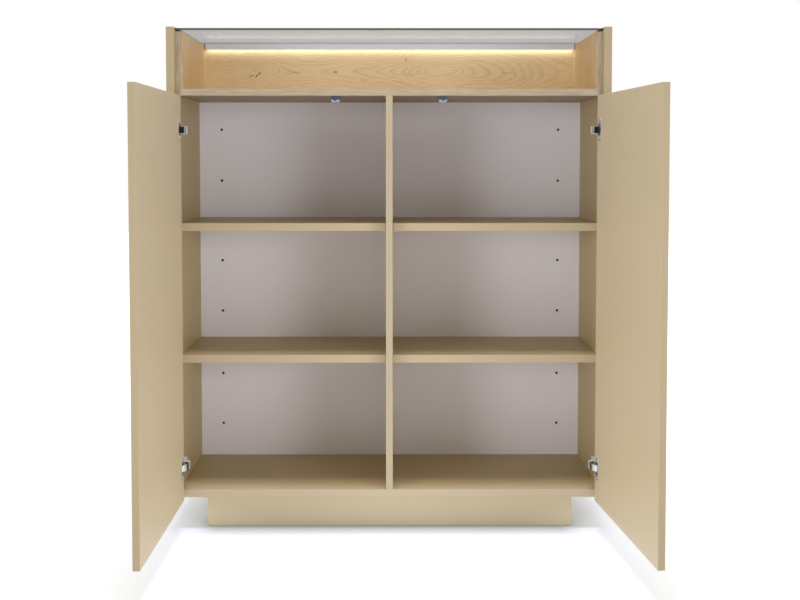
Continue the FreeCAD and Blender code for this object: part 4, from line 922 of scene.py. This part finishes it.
class SIDEBOARD_OT_screws(bpy.types.Operator):
    """Plate the screws and give each a domed head with a cross recess."""

    bl_idname = "sideboard.screws"
    bl_label = "Screws and pins"

    def execute(self, context):
        nickel, zinc = plain_finish("nickel_screws"), plain_finish("zinc_screws")
        dress(nickel, "left_cup_screws", "right_cup_screws", "plate_screws", "arm_screws",
              "shelf_pins")
        dress(zinc, "back_screws", "latch_screws")
        right = (-math.cos(RIGHT_DOOR_TURN), -math.sin(RIGHT_DOOR_TURN), 0.0)
        hinge, back = head_profile(HINGE_HEAD_RADIUS), head_profile(BACK_HEAD_RADIUS)
        for name, spots, profile, material, body, slot in (
                ("left_cup_screw_heads", head_spots("left_cup_screws", (1, 0, 0)), hinge,
                 nickel, "left_leaf", "nickel"),
                ("right_cup_screw_heads", door_head_spots("right_cup_screws", right), hinge,
                 nickel, "right_leaf", "nickel"),
                ("plate_screw_heads", head_spots("plate_screws"), hinge, nickel, "carcass",
                 "nickel"),
                ("arm_screw_heads", head_spots("arm_screws"), hinge, nickel, "carcass",
                 "nickel"),
                ("latch_screw_heads", head_spots("latch_screws", (0, 0, -1)), hinge, zinc,
                 "carcass", "zinc_screws"),
                ("back_screw_heads", head_spots("back_screws", (0, 1, 0)), back, zinc,
                 "carcass", "zinc_screws"),
        ):
            heads = turned_profile(spots, profile, HEAD_STEPS,
                                   context.scene.sideboard_sizes.recess_depth)
            add_piece(name, heads, material, body)
        return {"FINISHED"}


class SIDEBOARD_OT_latches(bpy.types.Operator):
    """Mould the push latches: a housing painted dark as shade above its pale lower shell, and a
    dark plunger.
    """

    bl_idname = "sideboard.latches"
    bl_label = "Push latches"

    def execute(self, context):
        dress(latch_plastic(), "left_latch_housing", "right_latch_housing")
        dress(plain_finish("latch_plunger"), "left_latch_plunger", "right_latch_plunger")
        return {"FINISHED"}


# Studio lamps: place, aim, width and height in metres, setting of the power, fan in degrees
LAMPS = {
    "left_softbox": ((-2.75, -3.8, 1.15), (0.0, -0.3, 0.6), 1.8, 1.2, "softbox", 45.0),
    "right_softbox": ((2.75, -3.8, 1.15), (0.0, -0.3, 0.6), 1.8, 1.2, "softbox", 45.0),
    "ceiling": ((0.0, -0.95, 6.6), (0.0, -0.95, 0.0), 1.7, 1.5, "ceiling", 180.0),
    "rear_softbox": ((1.0, 4.0, 2.2), (0.0, 0.0, 0.8), 2.4, 1.6, "rear_softbox", 180.0),
}

# The photo's camera: focal length and lens shift in pixels, tilt and turn in degrees
PHOTO_WIDTH, FOCAL_PIXELS, SHIFT_PIXELS = 800, 1218.1, -80.0
CAMERA_PLACE, CAMERA_TILT, CAMERA_TURN = (0.0185, -3.6281, 1.0510), 2.84, -0.196


class SIDEBOARD_OT_studio(bpy.types.Operator):
    """Set up the white surround, the floor, the soft lamps and the camera."""

    bl_idname = "sideboard.studio"
    bl_label = "Studio"

    def execute(self, context):
        scene = context.scene
        studio = scene.sideboard_studio
        scene.view_settings.view_transform = "Standard"
        scene.world = bpy.data.worlds.new("white_surround")
        scene.world.use_nodes = True
        tree = scene.world.node_tree
        seen = add_node(tree, "LightPath", output="Is Camera Ray")
        strength = add_node(tree, "MapRange",
                            {"Value": seen, "To Min": studio.surround, "To Max": studio.backdrop})
        connect(tree, tree.nodes["Background"], {"Color": WHITE, "Strength": strength})

        mesh = bpy.data.meshes.new("studio_floor")
        half = FLOOR_HALF
        mesh.from_pydata([(-half, -half, 0), (half, -half, 0), (half, half, 0),
                          (-half, half, 0)], [], [(0, 1, 2, 3)])
        floor = bpy.data.objects.new("studio_floor", mesh)
        scene.collection.objects.link(floor)
        mesh.materials.append(pale_floor())

        for name, (place, aim, width, height, setting, fan) in LAMPS.items():
            item = add_lamp(name, place, width, height, getattr(studio, setting))
            item.data.spread = math.radians(fan)
            way = Vector(aim) - Vector(place)
            item.rotation_euler = way.to_track_quat("-Z", "Y").to_euler()
            item.visible_camera = False

        camera = bpy.data.cameras.new("photo_camera")
        camera.lens = FOCAL_PIXELS / PHOTO_WIDTH * camera.sensor_width
        camera.shift_y = SHIFT_PIXELS / PHOTO_WIDTH
        scene.camera = bpy.data.objects.new("photo_camera", camera)
        scene.camera.location = CAMERA_PLACE
        scene.camera.rotation_euler = (math.radians(90 - CAMERA_TILT), 0.0,
                                       math.radians(CAMERA_TURN))
        scene.collection.objects.link(scene.camera)
        return {"FINISHED"}


class SIDEBOARD_PT_panel(bpy.types.Panel):
    """The sideboard's operators and settings in the 3D view's sidebar."""

    bl_label = "Sideboard"
    bl_idname = "SIDEBOARD_PT_panel"
    bl_space_type = "VIEW_3D"
    bl_region_type = "UI"
    bl_category = "Sideboard"

    def draw(self, context):
        for name in GROUPS:
            group = getattr(context.scene, name)
            for setting in group.__annotations__:
                self.layout.prop(group, setting)
        for operator in OPERATORS:
            self.layout.operator(operator.bl_idname)


OPERATORS = (SIDEBOARD_OT_boards, SIDEBOARD_OT_niche, SIDEBOARD_OT_glass, SIDEBOARD_OT_light,
             SIDEBOARD_OT_hinges, SIDEBOARD_OT_screws, SIDEBOARD_OT_latches,
             SIDEBOARD_OT_studio)
GROUPS = {"sideboard_colours": SideboardColours, "sideboard_sizes": SideboardSizes,
          "sideboard_studio": SideboardStudio}


def register():
    """Register the classes and attach the settings to the scene."""
    for item in (*GROUPS.values(), *OPERATORS, SIDEBOARD_PT_panel):
        bpy.utils.register_class(item)
    for name, group in GROUPS.items():
        setattr(bpy.types.Scene, name, PointerProperty(type=group))


def unregister():
    """Take the settings off the scene and unregister the classes."""
    for name in GROUPS:
        delattr(bpy.types.Scene, name)
    for item in (SIDEBOARD_PT_panel, *reversed(OPERATORS), *GROUPS.values()):
        bpy.utils.unregister_class(item)


def main():
    """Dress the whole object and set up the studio."""
    register()
    for operator in OPERATORS:
        getattr(bpy.ops.sideboard, operator.bl_idname.split(".")[1])()


if __name__ == "__main__":
    main()
